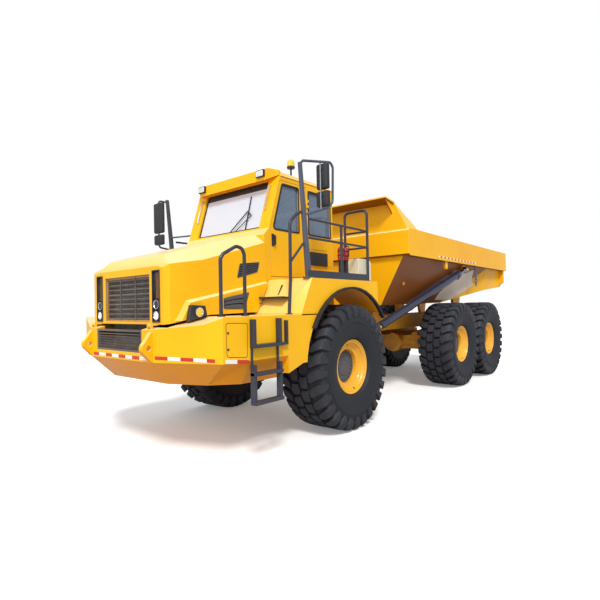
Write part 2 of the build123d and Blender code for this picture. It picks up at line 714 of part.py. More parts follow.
def make_tow_lugs():
    lugs = []
    for sign in (1, -1):
        base_x = NOSE_FRONT_X
        y0 = sign * TOW_HOLE_Y - TOW_LUG_THICK / 2
        plate = prism_xz(
            [
                (base_x, TOW_HOLE_Z + 190),
                (TOW_HOLE_X + 30, TOW_HOLE_Z + TOW_LUG_RADIUS - 6),
                (TOW_HOLE_X + 30, TOW_HOLE_Z - TOW_LUG_RADIUS + 6),
                (base_x, TOW_HOLE_Z - 160),
            ],
            y0,
            y0 + TOW_LUG_THICK,
        )
        ends = [(TOW_HOLE_X, y, TOW_HOLE_Z) for y in (y0, y0 + TOW_LUG_THICK)]
        round_end = post(ends[0], ends[1], TOW_LUG_RADIUS, 16)
        behind = block(base_x - 100, base_x, y0 - 5, y0 + TOW_LUG_THICK + 5, 1000.0, 1800.0)
        lug = plate.fuse(round_end).cut(behind)
        hole = rod((TOW_HOLE_X, y0 - 5, TOW_HOLE_Z), (TOW_HOLE_X, y0 + TOW_LUG_THICK + 5, TOW_HOLE_Z), TOW_HOLE_RADIUS)
        lugs.append(lug.cut(hole))
    return lugs


def slats(x0, x1, half_width, z0, z1, count, thick):
    """A framed panel of level slats."""
    frame = block(x0, x1, -half_width, half_width, z0, z1)
    frame = frame - block(x0 - 5, x1 + 5, -half_width + 30, half_width - 30, z0 + 25, z1 - 25)
    pitch = (z1 - z0 - 50) / (count + 1)
    bars = []
    for n in range(count):
        z = z0 + 25 + (n + 1) * pitch
        bars.append(block(x0, x1 - 8, -half_width + 29, half_width - 29, z - thick / 2, z + thick / 2))
    return frame.fuse(*bars)


# Hood stations: x, low edge z, side half width, shoulder z, top half width, top z
HOOD_STATIONS = [
    (2760.0, 1662.0, 800.0, 2345.0, 700.0, 2365.0),
    (2640.0, 1708.0, 925.0, 2370.0, 740.0, 2450.0),
    (2480.0, 1768.0, 930.0, 2405.0, 746.0, 2485.0),
    (1040.0, 1795.0, 960.0, 2720.0, 800.0, 2800.0),
]


def hood_sections(inset, drop=0.0):
    sections = []
    last = len(HOOD_STATIONS) - 1
    for n, (x, low, side, shoulder, top_half, top) in enumerate(HOOD_STATIONS):
        half = [
            (side - inset, low - drop),
            (side - inset, shoulder - inset * 0.6),
            (top_half - inset * 0.6, top - inset),
        ]
        x_at = x - inset if n == 0 else x - inset * 0.5 if n == 1 else x - (200 if inset else 0)
        sections.append([(x_at, y, z) for y, z in both_halves(half)])
    return sections


def cab_front_outline(gap):
    """The slanted line where the hood ends and the cab begins, moved forward by a gap."""
    return [
        (1385.0 + gap, CAB_LOW_Z - 200),
        (1365.0 + gap, CAB_LOW_Z),
        (1085.0 + gap, CAB_FLOOR_Z),
        (1060.0 + gap, 2900.0),
    ]


def make_hood():
    """Tilting hood: one sheet shell with a belt along each side, open below and behind."""
    shell = skin(hood_sections(0)).cut(skin(hood_sections(HOOD_WALL, drop=60)))
    belts = []
    for sign in (1, -1):
        belt = [
            [(2330.0, sign * 922.0, 1772.0), (2210.0, sign * 922.0, 1960.0), (1040.0, sign * 922.0, 2160.0),
             (1040.0, sign * 922.0, 1797.0)],
            [(2330.0, sign * (925 + HOOD_BELT_OUT), 1772.0), (2190.0, sign * (925 + HOOD_BELT_OUT), 1920.0),
             (1040.0, sign * (925 + HOOD_BELT_OUT), 2110.0), (1040.0, sign * (925 + HOOD_BELT_OUT), 1797.0)],
        ]
        belts.append(skin(belt))
    whole = shell.fuse(*belts)
    rear_cut = prism_xz(cab_front_outline(MOVING_GAP) + [(900.0, 2900.0), (900.0, 1500.0)], -1200, 1200)
    front_hole = block(2700.0, 2800.0, -560.0, 560.0, 1730.0, 2290.0)
    whole = whole.cut(rear_cut).cut(front_hole)
    for sign in (1, -1):
        y0, y1 = sorted((sign * 640.0, sign * 760.0))
        whole = whole.cut(block(2700.0, 2800.0, y0, y1, 1695.0, 2310.0))
    for sign in (1, -1):
        y0, y1 = sorted((sign * HOOD_EYE_Y, sign * (HOOD_EYE_Y + HOOD_EYE_WIDTH)))
        strap = block(2745.0, HOOD_HINGE_X - 8, y0, y1, HOOD_HINGE_Z, HOOD_HINGE_Z + 14)
        eye = post((HOOD_HINGE_X, y0, HOOD_HINGE_Z), (HOOD_HINGE_X, y1, HOOD_HINGE_Z), HOOD_EYE_RADIUS, 8)
        hole_ends = [(HOOD_HINGE_X, y, HOOD_HINGE_Z) for y in (y0 - 5, y1 + 5)]
        hole = rod(hole_ends[0], hole_ends[1], HOOD_PIN_RADIUS + PIN_CLEARANCE)
        whole = whole.fuse(strap, eye).cut(hole)
    return whole.clean()


def make_main_grille():
    """Grille set back in the hood's front: a frame with level slats."""
    x0, x1 = 2700.0, 2748.0 - SEAT_GAP
    frame = block(x0, x1, -590.0, 590.0, 1700.0, 2310.0) - block(x0 - 5, x1 + 5, -545.0, 545.0, 1745.0, 2265.0)
    bars = []
    for n in range(9):
        z = 1745 + (n + 0.5) * 520 / 9
        bars.append(block(x0 + 12, x0 + 24, -546, 546, z - 9, z + 9))
    return frame.fuse(*bars)


def make_head_lamps():
    """A tall lamp housing on each side of the grille, with two round lamps."""
    lamps = []
    for sign in (1, -1):
        y0, y1 = sorted((sign * 640.0 + sign * SEAT_GAP, sign * 760.0 - sign * SEAT_GAP))
        case = block(2680.0, 2772.0, y0, y1, 1695 + SEAT_GAP, 2310 - SEAT_GAP)
        case = case.cut(block(2712.0, 2800.0, y0 + 10, y1 - 10, 1710.0, 2295.0))
        for z in (1790.0, 1920.0):
            case = case.fuse(post((2700.0, sign * 700, z), (2750.0, sign * 700, z), 46.0))
        lamps.append(case)
    return lamps


def make_hood_vents():
    """Louvred vents and round side lamps in brackets on the hood's belt."""
    pieces = []
    out = 925 + HOOD_BELT_OUT
    for sign in (1, -1):
        y0 = sign * (out + 0)
        bracket = prism_xz(
            [(2290.0, 1775.0), (2240.0, 1900.0), (2120.0, 1900.0), (2080.0, 1780.0)],
            y0 + sign * SEAT_GAP,
            y0 + sign * 60.0,
        )
        lamp = post((2180.0, y0 + sign * 60, 1838.0), (2180.0, y0 + sign * 78, 1838.0), 55.0)
        pieces.append(bracket.fuse(lamp))
    return pieces


def cab_profile(inset=0.0):
    return [
        (CAB_REAR_X + inset, CAB_LOW_Z + inset),
        (1365.0 - inset, CAB_LOW_Z + inset),
        (1085.0 - inset, CAB_FLOOR_Z),
        (1060.0 - inset, 2820.0),
        (1005.0 - inset, 3000.0),
        (795.0 - inset, CAB_ROOF_Z - ROOF_THICK),
        (780.0 - inset, CAB_ROOF_Z - inset),
        (CAB_REAR_X + inset, CAB_ROOF_Z - inset),
    ]


def front_x(z):
    """Outer face of the cab's front at a height above the floor."""
    points = [(1085.0, CAB_FLOOR_Z), (1060.0, 2820.0), (1005.0, 3000.0), (795.0, CAB_ROOF_Z - ROOF_THICK)]
    for (x0, z0), (x1, z1) in zip(points, points[1:]):
        if z0 <= z <= z1:
            return x0 + (x1 - x0) * (z - z0) / (z1 - z0)
    return points[-1][0]


def door_outline(gap):
    """The door in side view; a gap makes it smaller than its opening."""
    low = CAB_FLOOR_Z + gap
    high = DOOR_HIGH_Z - gap
    edge = 62.0 + gap
    return [
        (DOOR_REAR_X + gap, low),
        (front_x(low) - edge, low),
        (front_x(2820.0) - edge, 2820.0),
        (front_x(3000.0) - edge, 3000.0),
        (front_x(high - 10) - edge, high),
        (DOOR_REAR_X + gap, high),
    ]


def door_window(inset):
    edge = 62.0 + 90.0 + inset
    low, high = SILL_Z - 90.0 + inset, HEADER_Z - inset
    return [
        (DOOR_REAR_X + 90.0 + inset, low),
        (front_x(low) - edge, low),
        (front_x(high) - edge, high),
        (DOOR_REAR_X + 90.0 + inset, high),
    ]


def quarter_window(inset):
    return [
        (CAB_REAR_X + 80 + inset, SILL_Z + inset),
        (DOOR_REAR_X - 60 - inset, SILL_Z + inset),
        (DOOR_REAR_X - 60 - inset, HEADER_Z - inset),
        (CAB_REAR_X + 80 + inset, HEADER_Z - inset),
    ]


def make_cab_shell():
    """Cab with its floor, walls as thick as the door, and all windows cut."""
    shell = prism_xz(cab_profile(), -CAB_HALF_WIDTH, CAB_HALF_WIDTH)
    room = prism_xz(
        [
            (CAB_REAR_X + CAB_WALL, CAB_FLOOR_Z + 20),
            (front_x(CAB_FLOOR_Z + 20) - CAB_WALL, CAB_FLOOR_Z + 20),
            (front_x(2820.0) - CAB_WALL, 2820.0),
            (front_x(3000.0) - CAB_WALL, 3000.0),
            (795.0 - CAB_WALL, CAB_ROOF_Z - ROOF_THICK),
            (CAB_REAR_X + CAB_WALL, CAB_ROOF_Z - ROOF_THICK),
        ],
        -CAB_HALF_WIDTH + CAB_WALL,
        CAB_HALF_WIDTH - CAB_WALL,
    )
    under = prism_xz(
        [
            (CAB_REAR_X + CAB_WALL, CAB_LOW_Z - 10),
            (1365.0 - CAB_WALL, CAB_LOW_Z - 10),
            (1085.0 - CAB_WALL, CAB_FLOOR_Z - 40),
            (CAB_REAR_X + CAB_WALL, CAB_FLOOR_Z - 40),
        ],
        -CAB_HALF_WIDTH + CAB_WALL,
        CAB_HALF_WIDTH - CAB_WALL,
    )
    rails = []
    for sign in (1, -1):
        y0, y1 = sorted((sign * (RAIL_INNER_Y), sign * (RAIL_INNER_Y + RAIL_WIDTH)))
        for post_x in (850.0, -350.0):
            rails.append(block(post_x - 90, post_x + 90, y0, y1, CAB_LOW_Z, CAB_FLOOR_Z - 39))
    shell = shell.cut(room).cut(under).fuse(*rails)
    left = CAB_HALF_WIDTH - CAB_WALL - 10
    right = CAB_HALF_WIDTH + 10
    shell = shell.cut(prism_xz(door_outline(0), left, right))
    shell = shell.cut(prism_xz(door_window(0), -right, -left))
    for sign in (1, -1):
        shell = shell.cut(prism_xz(quarter_window(0), sign * left, sign * right))
    shell = shell.cut(windscreen_solid(0, 200.0))
    shell = shell.cut(block(CAB_REAR_X - 10, CAB_REAR_X + CAB_WALL + 10, -600.0, 600.0, 2950.0, 3600.0))
    pin_y = CAB_HALF_WIDTH + DOOR_PIN_OUT
    hinges = []
    for z in DOOR_HINGE_HEIGHTS:
        half = DOOR_KNUCKLE_HEIGHT / 2 + 1
        hinges.append(rod((DOOR_PIN_X, pin_y, z - half - 2), (DOOR_PIN_X, pin_y, z + half + 2), DOOR_PIN_RADIUS))
        for low, high in ((z - 3 * half, z - half), (z + half, z + 3 * half)):
            hinges.append(post((DOOR_PIN_X, pin_y, low), (DOOR_PIN_X, pin_y, high), DOOR_KNUCKLE_RADIUS, 8))
            hinges.append(block(DOOR_PIN_X - 45, DOOR_PIN_X - 5, CAB_HALF_WIDTH - 1, pin_y + 4, low, high))
    return shell.fuse(*hinges).clean()


def windscreen_solid(inset, depth):
    """The windscreen's outline carried back from the slanted front."""
    low, high = 3020.0 + inset, 3680.0 - inset
    half = 745.0 - inset
    start = 60.0 if depth > 100 else -20.0
    return prism_xz(
        [
            (front_x(low) + start, low),
            (front_x(high) + start, high),
            (front_x(high) + start - depth, high),
            (front_x(low) + start - depth, low),
        ],
        -half,
        half,
    )


def make_cab_glass():
    panes = [windscreen_solid(SEAT_GAP, GLASS_THICK)]
    y = CAB_HALF_WIDTH - CAB_WALL / 2
    for sign in (1, -1):
        panes.append(prism_xz(quarter_window(SEAT_GAP), sign * y, sign * (y + GLASS_THICK)))
    panes.append(prism_xz(door_window(SEAT_GAP), -y - GLASS_THICK, -y))
    gap = SEAT_GAP
    x = CAB_REAR_X + CAB_WALL / 2
    panes.append(block(x, x + GLASS_THICK, -600 + gap, 600 - gap, 2950 + gap, 3600 - gap))
    return panes


def make_cab_roof():
    """Roof cap with a visor that overhangs the windscreen and holds the work lamps."""
    low = CAB_ROOF_Z + SEAT_GAP
    cap = skin(
        [
            [(CAB_REAR_X - 15, -CAB_HALF_WIDTH - 12, low), (790.0, -CAB_HALF_WIDTH - 12, low),
             (790.0, CAB_HALF_WIDTH + 12, low), (CAB_REAR_X - 15, CAB_HALF_WIDTH + 12, low)],
            [(CAB_REAR_X + 40, -CAB_HALF_WIDTH + 60, low + 70), (760.0, -CAB_HALF_WIDTH + 30, low + 70),
             (760.0, CAB_HALF_WIDTH - 30, low + 70), (CAB_REAR_X + 40, CAB_HALF_WIDTH - 60, low + 70)],
        ]
    )
    visor = prism_xz(
        [(789.0, low + 1), (800.0 + SEAT_GAP, low - 50), (1010.0, low - 95), (1010.0, low - 5), (790.0, low + 66)],
        -CAB_HALF_WIDTH - 5,
        CAB_HALF_WIDTH + 5,
    )
    return cap.fuse(visor).clean()


def make_work_lamps():
    lamps = []
    for sign in (1, -1):
        y = sign * (CAB_HALF_WIDTH - 110.0)
        low = CAB_ROOF_Z + SEAT_GAP - 90
        lamps.append(block(1010.0 + SEAT_GAP, 1042.0, y - 62, y + 62, low - 5, low + 75))
    return lamps


def make_door():
    """Door panel hinged at its rear edge, with its window cut and a grip on the outside."""
    y0, y1 = CAB_HALF_WIDTH - CAB_WALL, CAB_HALF_WIDTH
    door = prism_xz(door_outline(MOVING_GAP), y0, y1).cut(prism_xz(door_window(0), y0 - 10, y1 + 10))
    x = front_x(2790.0) - 190.0
    grip = tube([(x, y1 - 2, 2720.0), (x, y1 + 45, 2740.0), (x, y1 + 45, 2860.0), (x, y1 - 2, 2880.0)], 14.0)
    door = door.fuse(grip)
    pin_y = y1 + DOOR_PIN_OUT
    for z in DOOR_HINGE_HEIGHTS:
        low, high = z - DOOR_KNUCKLE_HEIGHT / 2, z + DOOR_KNUCKLE_HEIGHT / 2
        knuckle = post((DOOR_PIN_X, pin_y, low), (DOOR_PIN_X, pin_y, high), DOOR_KNUCKLE_RADIUS, 8)
        leaf = block(DOOR_PIN_X + 5, DOOR_PIN_X + 60, y1 - 1, pin_y + 4, low, high)
        hole = rod((DOOR_PIN_X, pin_y, low - 5), (DOOR_PIN_X, pin_y, high + 5), DOOR_PIN_RADIUS + PIN_CLEARANCE)
        door = door.fuse(knuckle, leaf).cut(hole)
    return door.clean()


def fender_outline(z):
    """Plan of a fender block's front edge at one height, from the cab side out."""
    low_part = [(1375.0, FENDER_INNER_Y), (1330.0, 1420.0), (1160.0, BODY_HALF_WIDTH)]
    high_part = [(1080.0, FENDER_INNER_Y), (900.0, 1230.0), (780.0, BODY_HALF_WIDTH)]
    share = (z - 1770.0) / (DECK_Z - 1770.0)
    front = [(x0 + (x1 - x0) * share, y0 + (y1 - y0) * share) for (x0, y0), (x1, y1) in zip(low_part, high_part)]
    rear = [(FENDER_REAR_X, BODY_HALF_WIDTH), (FENDER_REAR_X, FENDER_INNER_Y)]
    return [(x, y, z) for x, y in front + rear]


def make_fender(sign):
    """Wheel arch block with the walking deck on top and the step box in front of the wheel."""
    upper = skin([fender_outline(1770.0), fender_outline(DECK_Z)])
    lower = prism_xz(
        [
            (NOSE_REAR_X - SEAT_GAP, 1000.0),
            (NOSE_REAR_X - SEAT_GAP, NOSE_TOP_REAR_Z),
            (FENDER_REAR_X, NOSE_TOP_REAR_Z),
            (FENDER_REAR_X, 1640.0),
            (-750.0, 1640.0),
            (-700.0, 1000.0),
        ],
        FENDER_INNER_Y,
        BODY_HALF_WIDTH,
    )
    bridge = prism_xy([(x, y) for x, y, z in fender_outline(1770.0)], 1740.0, 1771.0)
    arch = post((0, 500.0, ARCH_CENTRE_Z), (0, 1800.0, ARCH_CENTRE_Z), ARCH_RADIUS, ARCH_SIDES)
    under = block(-1200.0, 1030.0, 500.0, 1800.0, 700.0, ARCH_CENTRE_Z)
    slope = prism_xz([(1500.0, 950.0), (1500.0, 1000.0), (1150.0, 1120.0), (1000.0, 1120.0), (1000.0, 950.0)], 500.0, 1800.0)
    shape = upper.fuse(lower, bridge).cut(arch).cut(under).cut(slope)
    shape = shape.clean()
    return shape if sign > 0 else mirrored(shape)


def make_arch_lip(sign):
    """Black rubber lip round the arch's outer edge."""
    y0, y1 = BODY_HALF_WIDTH + SEAT_GAP, BODY_HALF_WIDTH + 60.0
    ring = post((0, y0, ARCH_CENTRE_Z), (0, y1, ARCH_CENTRE_Z), ARCH_RADIUS + 30, ARCH_SIDES)
    ring = ring.cut(post((0, y0 - 5, ARCH_CENTRE_Z), (0, y1 + 5, ARCH_CENTRE_Z), ARCH_RADIUS, ARCH_SIDES))
    below = prism_xz([(-1200.0, -100.0), (-1200.0, 1640.0), (-850.0, 1640.0), (1000.0, 1560.0), (1200.0, 1540.0),
                      (1200.0, -100.0)], y0 - 10, y1 + 10)
    lip = ring.cut(below)
    return lip if sign > 0 else mirrored(lip)


def make_ladder(sign):
    """Folding-free boarding ladder: two treads in the side box and a hanging step below."""
    y0 = BODY_HALF_WIDTH + SEAT_GAP
    y1 = BODY_HALF_WIDTH + 90.0
    x0, x1 = 1500.0, 2030.0
    pieces = []
    for top, low in ((1700.0, 1400.0), (1200.0, 700.0)):
        for x in (x0, x1):
            pieces.append(block(x - 22, x + 22, y0, y1 - 20, low, top))
        pieces.append(block(x0 - 22, x1 + 22, y0, y1, low - 40, low + 1))
    pieces.append(block(x0 - 22, x1 + 22, y0, y1, 1040.0, 1080.0))
    for x in (x0, x1):
        pieces.append(block(x - 15, x + 15, y0, y0 + 20, 1190.0, 1410.0))
    shape = pieces[0].fuse(*pieces[1:]).clean()
    return shape if sign > 0 else mirrored(shape)


def make_handrails(sign):
    """Bent tube rails: a hoop beside the hood, the entry rail and the rails round the deck."""
    shelf = NOSE_TOP_REAR_Z + SEAT_GAP
    deck = DECK_Z + SEAT_GAP
    rail_rear = -620.0

    def side_tube(points, radius=TUBE_RADIUS):
        return tube([(x, sign * y, z) for x, y, z in points], radius)

    hoop = side_tube([(2360.0, 1340.0, shelf), (2360.0, 1340.0, 2430.0), (2280.0, 1350.0, 2540.0),
                      (2060.0, 1385.0, 2580.0), (1980.0, 1400.0, 2480.0), (1980.0, 1400.0, shelf)])
    if sign > 0:
        entry_top = [(1300.0, 1500.0, 2960.0), (1200.0, 1500.0, 3090.0), (1012.0, 1525.0, 3140.0)]
    else:
        entry_top = [(1300.0, 1500.0, 2560.0), (1200.0, 1510.0, 2660.0), (930.0, RAIL_Y, 2680.0)]
    entry = side_tube([(1300.0, 1500.0, shelf)] + entry_top)
    thin = TUBE_RADIUS - 5
    deck_tubes = [side_tube([(880.0, RAIL_Y, z), (rail_rear, RAIL_Y, z)], thin) for z in (2680.0, 3060.0)]
    deck_tubes.append(side_tube([(120.0, RAIL_Y, deck), (120.0, RAIL_Y, 3080.0)]))
    deck_tubes.append(side_tube([(rail_rear, RAIL_Y, deck), (rail_rear, RAIL_Y, 3400.0),
                                 (rail_rear, 1100.0, 3400.0), (rail_rear, 1100.0, deck)]))
    for z in (2680.0, 3060.0):
        deck_tubes.append(side_tube([(rail_rear, RAIL_Y, z), (rail_rear, 1100.0, z)], thin))
    return [hoop, entry, deck_tubes[0].fuse(*deck_tubes[1:])]


def make_mirror_left():
    """Mast on the deck's front corner with a tube loop that holds a tall mirror and a wide-angle one."""
    y = RAIL_Y
    mast = skin(
        [
            [(930.0, y - 30, DECK_Z), (1010.0, y - 30, DECK_Z), (1010.0, y + 30, DECK_Z), (930.0, y + 30, DECK_Z)],
            [(950.0, y - 22, 3860.0), (1000.0, y - 22, 3860.0), (1000.0, y + 22, 3860.0), (950.0, y + 22, 3860.0)],
        ]
    )
    foot = block(700.0, 1010.0, y - 45, y + 45, DECK_Z - 0, DECK_Z + 14)
    loop = tube([(975.0, y, 3850.0), (860.0, y, 3960.0), (240.0, y, 4110.0), (170.0, y, 4040.0),
                 (150.0, y, 3260.0), (240.0, y, 3160.0), (960.0, y, 3120.0)], 18.0)
    stem = tube([(430.0, y, 4060.0), (430.0, y, 3150.0)], 14.0)
    head = block(400.0, 470.0, y - 160, y + 140, 3420.0, 4050.0)
    wide = block(400.0, 470.0, y - 150, y + 130, 3190.0, 3390.0)
    return mast.fuse(foot, loop, stem, head, wide).clean()


def make_mirror_right():
    """Right mirror on two arms from the cab's front corner."""
    y = -1500.0
    x = 1230.0
    arms = [
        tube([(x, y, z), (1000.0, -1150.0, z), (790.0, -980.0, z), (790.0, -CAB_HALF_WIDTH - SEAT_GAP, z)], 16.0)
        for z in (3080.0, 3500.0)
    ]
    stem = tube([(x, y, 2960.0), (x, y, 3720.0)], 16.0)
    head = block(x - 70, x - 10, y - 140, y + 140, 3170.0, 3710.0)
    wide = block(x - 70, x - 10, y - 130, y + 130, 2970.0, 3140.0)
    return stem.fuse(*arms, head, wide).clean()


def make_seat():
    base = block(-110.0, 330.0, -240.0, 240.0, CAB_FLOOR_Z + 20 + SEAT_GAP, 2620.0)
    cushion = block(-140.0, 380.0, -270.0, 270.0, 2619.0, 2760.0)
    back = prism_xz([(-130.0, 2740.0), (10.0, 2740.0), (-120.0, 3440.0), (-240.0, 3440.0)], -260.0, 260.0)
    return base.fuse(cushion, back).clean()


def make_dash():
    """Dashboard across the cab's front with the steering column and wheel."""
    floor = CAB_FLOOR_Z + 20 + SEAT_GAP
    inner = CAB_HALF_WIDTH - CAB_WALL - 80
    front = CAB_WALL + SEAT_GAP
    dash = prism_xz(
        [(front_x(2310.0) - front - 5, floor), (front_x(2820.0) - front - 5, 2820.0),
         (front_x(2990.0) - front - 5, 2960.0), (780.0, 2930.0), (800.0, floor)],
        -inner,
        inner,
    )
    column = post((810.0, 0, 2860.0), (588.0, 0, 2997.5), 30.0)
    hub = Vector(590.0, 0, 2996.0)
    tilt = Plane(origin=hub, z_dir=(-0.85, 0, 0.53))
    ring = extrude(tilt * (RegularPolygon(215.0, 20) - RegularPolygon(185.0, 20)), amount=15.0, both=True)
    spoke = tilt * Box(60.0, 400.0, 16.0)
    return dash.fuse(column, ring, spoke).clean()


def make_extinguishers():
    bottles = []
    for n in range(2):
        x = -330.0 - 130.0 * n
        bottles.append(post((x, 1060.0, DECK_Z), (x, 1060.0, DECK_Z + 420.0), 55.0))
    return bottles


def make_tank(sign):
    """Box tank behind the fender deck."""
    shape = prism_xz(
        [(FENDER_REAR_X, DECK_Z), (FENDER_REAR_X, DECK_Z + 330), (-650.0, DECK_Z + 380), (-640.0, DECK_Z)], 1160.0, 1440.0
    )
    return shape if sign > 0 else mirrored(shape)


def make_beacon():
    stalk = post((280.0, 700.0, CAB_ROOF_Z + ROOF_THICK + SEAT_GAP), (280.0, 700.0, 4050.0), 14.0)
    lamp = post((280.0, 700.0, 4050.0), (280.0, 700.0, 4190.0), 65.0)
    return stalk.fuse(lamp)


def build():
    make_wheels()
    save("front_axle", make_axle(AXLE_PLACES["front"]))
    save("rear_axles", make_axle(AXLE_PLACES["middle"]), make_axle(AXLE_PLACES["rear"]))
    save("front_frame", make_front_frame())
    save("hitch", make_hitch())
    save("rear_frame", make_rear_frame())
    save("bogie_beams", *make_bogie_beams())
    save("engine_block", block(1430.0, 2370.0, -ENGINE_HALF_WIDTH, ENGINE_HALF_WIDTH, 1180.0, 2150.0))
    save("nose", make_nose())
    save("tow_lugs", *make_tow_lugs())
    save("lower_grille", slats(NOSE_FRONT_X - 60, NOSE_FRONT_X - 2, 600.0 - SEAT_GAP, 1345.3, 1559.7, 5, 12.0))
    save("hood", make_hood())
    save("main_grille", make_main_grille())
    save("head_lamps", *make_head_lamps())
    save("hood_vents", *make_hood_vents())
    save("cab_shell", make_cab_shell())
    save("cab_roof", make_cab_roof())
    save("cab_glass", *make_cab_glass())
    save("work_lamps", *make_work_lamps())
    save("door", make_door())
    y = CAB_HALF_WIDTH - CAB_WALL / 2
    save("door_glass", prism_xz(door_window(SEAT_GAP), y, y + GLASS_THICK))
    save("fenders", make_fender(1), make_fender(-1))
    save("arch_lips", make_arch_lip(1), make_arch_lip(-1))
    save("ladders", make_ladder(1), make_ladder(-1))
    save("handrails", *make_handrails(1), *make_handrails(-1))
    save("mirror_left", make_mirror_left())
    save("mirror_right", make_mirror_right())
    save("seat", make_seat())
    save("dash_console", make_dash())
    save("extinguishers", *make_extinguishers())
    save("tanks", make_tank(1), make_tank(-1))
    save("beacon", make_beacon())
    save("dump_body", make_dump_body())
    save("chains", *make_chains())
    make_cylinder("hoist", HOIST_LOW, HOIST_EYE, HOIST_BARREL_RADIUS, HOIST_ROD_RADIUS, HOIST_BARREL_SHARE,
                  HOIST_BORE_RADIUS, (0, 1, 0), HOIST_EYE_RADIUS)


build()
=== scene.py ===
import bpy
import bmesh
import json
import math
import random
from mathutils import Matrix, Vector

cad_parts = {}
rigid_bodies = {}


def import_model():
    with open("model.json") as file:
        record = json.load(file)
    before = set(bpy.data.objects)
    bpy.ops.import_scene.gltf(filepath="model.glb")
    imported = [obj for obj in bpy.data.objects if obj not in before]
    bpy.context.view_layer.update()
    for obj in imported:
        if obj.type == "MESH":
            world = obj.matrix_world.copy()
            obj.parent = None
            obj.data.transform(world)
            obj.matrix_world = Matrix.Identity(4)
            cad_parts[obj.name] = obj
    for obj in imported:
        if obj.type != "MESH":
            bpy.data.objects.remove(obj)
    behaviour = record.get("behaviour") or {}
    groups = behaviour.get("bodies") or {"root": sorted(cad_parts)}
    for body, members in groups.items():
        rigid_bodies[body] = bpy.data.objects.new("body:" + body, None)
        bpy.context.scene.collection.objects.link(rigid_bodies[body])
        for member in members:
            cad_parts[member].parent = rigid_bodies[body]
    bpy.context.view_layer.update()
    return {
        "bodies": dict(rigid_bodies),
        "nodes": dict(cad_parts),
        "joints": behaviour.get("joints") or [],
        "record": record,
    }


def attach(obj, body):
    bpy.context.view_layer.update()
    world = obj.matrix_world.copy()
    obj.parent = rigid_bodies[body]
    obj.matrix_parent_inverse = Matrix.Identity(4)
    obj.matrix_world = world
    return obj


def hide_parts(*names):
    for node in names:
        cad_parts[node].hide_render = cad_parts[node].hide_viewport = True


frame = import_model()
NODES = frame["nodes"]
SCENE = bpy.context.scene
SHIFT = 2.7
SIDES = {"left": 1, "right": -1}


def at(x, y, z):
    """A place in millimetres from the front axle, in the frame's metres."""
    return Vector((x / 1000 + SHIFT, y / 1000, z / 1000))


# Materials


def graph(name):
    m = bpy.data.materials.new(name)
    m.use_nodes = True
    m.node_tree.nodes.clear()
    out = m.node_tree.nodes.new("ShaderNodeOutputMaterial")
    bsdf = m.node_tree.nodes.new("ShaderNodeBsdfPrincipled")
    m.node_tree.links.new(bsdf.outputs[0], out.inputs[0])
    return m, m.node_tree.nodes, m.node_tree.links, bsdf


def noise(nodes, links, coord, scale, detail=3.0, rough=0.55):
    n = nodes.new("ShaderNodeTexNoise")
    n.inputs["Scale"].default_value = scale
    n.inputs["Detail"].default_value = detail
    n.inputs["Roughness"].default_value = rough
    links.new(coord, n.inputs["Vector"])
    return n.outputs["Fac"]


def ramp(nodes, links, fac, stops):
    r = nodes.new("ShaderNodeValToRGB")
    links.new(fac, r.inputs[0])
    r.color_ramp.elements[0].position = stops[0][0]
    r.color_ramp.elements[0].color = (*stops[0][1], 1)
    r.color_ramp.elements[1].position = stops[-1][0]
    r.color_ramp.elements[1].color = (*stops[-1][1], 1)
    for pos, col in stops[1:-1]:
        e = r.color_ramp.elements.new(pos)
        e.color = (*col, 1)
    return r.outputs[0]


def mix(nodes, links, fac, a, b):
    n = nodes.new("ShaderNodeMix")
    n.data_type = "RGBA"
    for socket, value in ((n.inputs["Factor"], fac), (n.inputs[6], a), (n.inputs[7], b)):
        if isinstance(value, tuple):
            socket.default_value = (*value, 1)
        elif isinstance(value, float):
            socket.default_value = value
        else:
            links.new(value, socket)
    return n.outputs[2]


def math_node(nodes, links, op, a, b=None, clamp=False):
    n = nodes.new("ShaderNodeMath")
    n.operation = op
    n.use_clamp = clamp
    for socket, value in ((n.inputs[0], a), (n.inputs[1], b)):
        if value is None:
            continue
        if isinstance(value, (int, float)):
            socket.default_value = value
        else:
            links.new(value, socket)
    return n.outputs[0]


def finish_surface(nodes, links, bsdf, colour, rough, height=None, bump=0.1, distance=0.002, round_edge=0.0):
    """Joins colour, roughness, fine bump and rounded edges to a surface."""
    links.new(colour, bsdf.inputs["Base Color"])
    links.new(rough, bsdf.inputs["Roughness"])
    normal = None
    if round_edge:
        bevel = nodes.new("ShaderNodeBevel")
        bevel.samples = 4
        bevel.inputs["Radius"].default_value = round_edge
        normal = bevel.outputs[0]
    if height is not None:
        b = nodes.new("ShaderNodeBump")
        b.inputs["Strength"].default_value = bump
        b.inputs["Distance"].default_value = distance
        links.new(height, b.inputs["Height"])
        if normal is not None:
            links.new(normal, b.inputs["Normal"])
        normal = b.outputs[0]
    if normal is not None:
        links.new(normal, bsdf.inputs["Normal"])


def rough_range(nodes, links, fac, low, high):
    n = nodes.new("ShaderNodeMapRange")
    links.new(fac, n.inputs["Value"])
    n.inputs["To Min"].default_value = low
    n.inputs["To Max"].default_value = high
    return n.outputs[0]


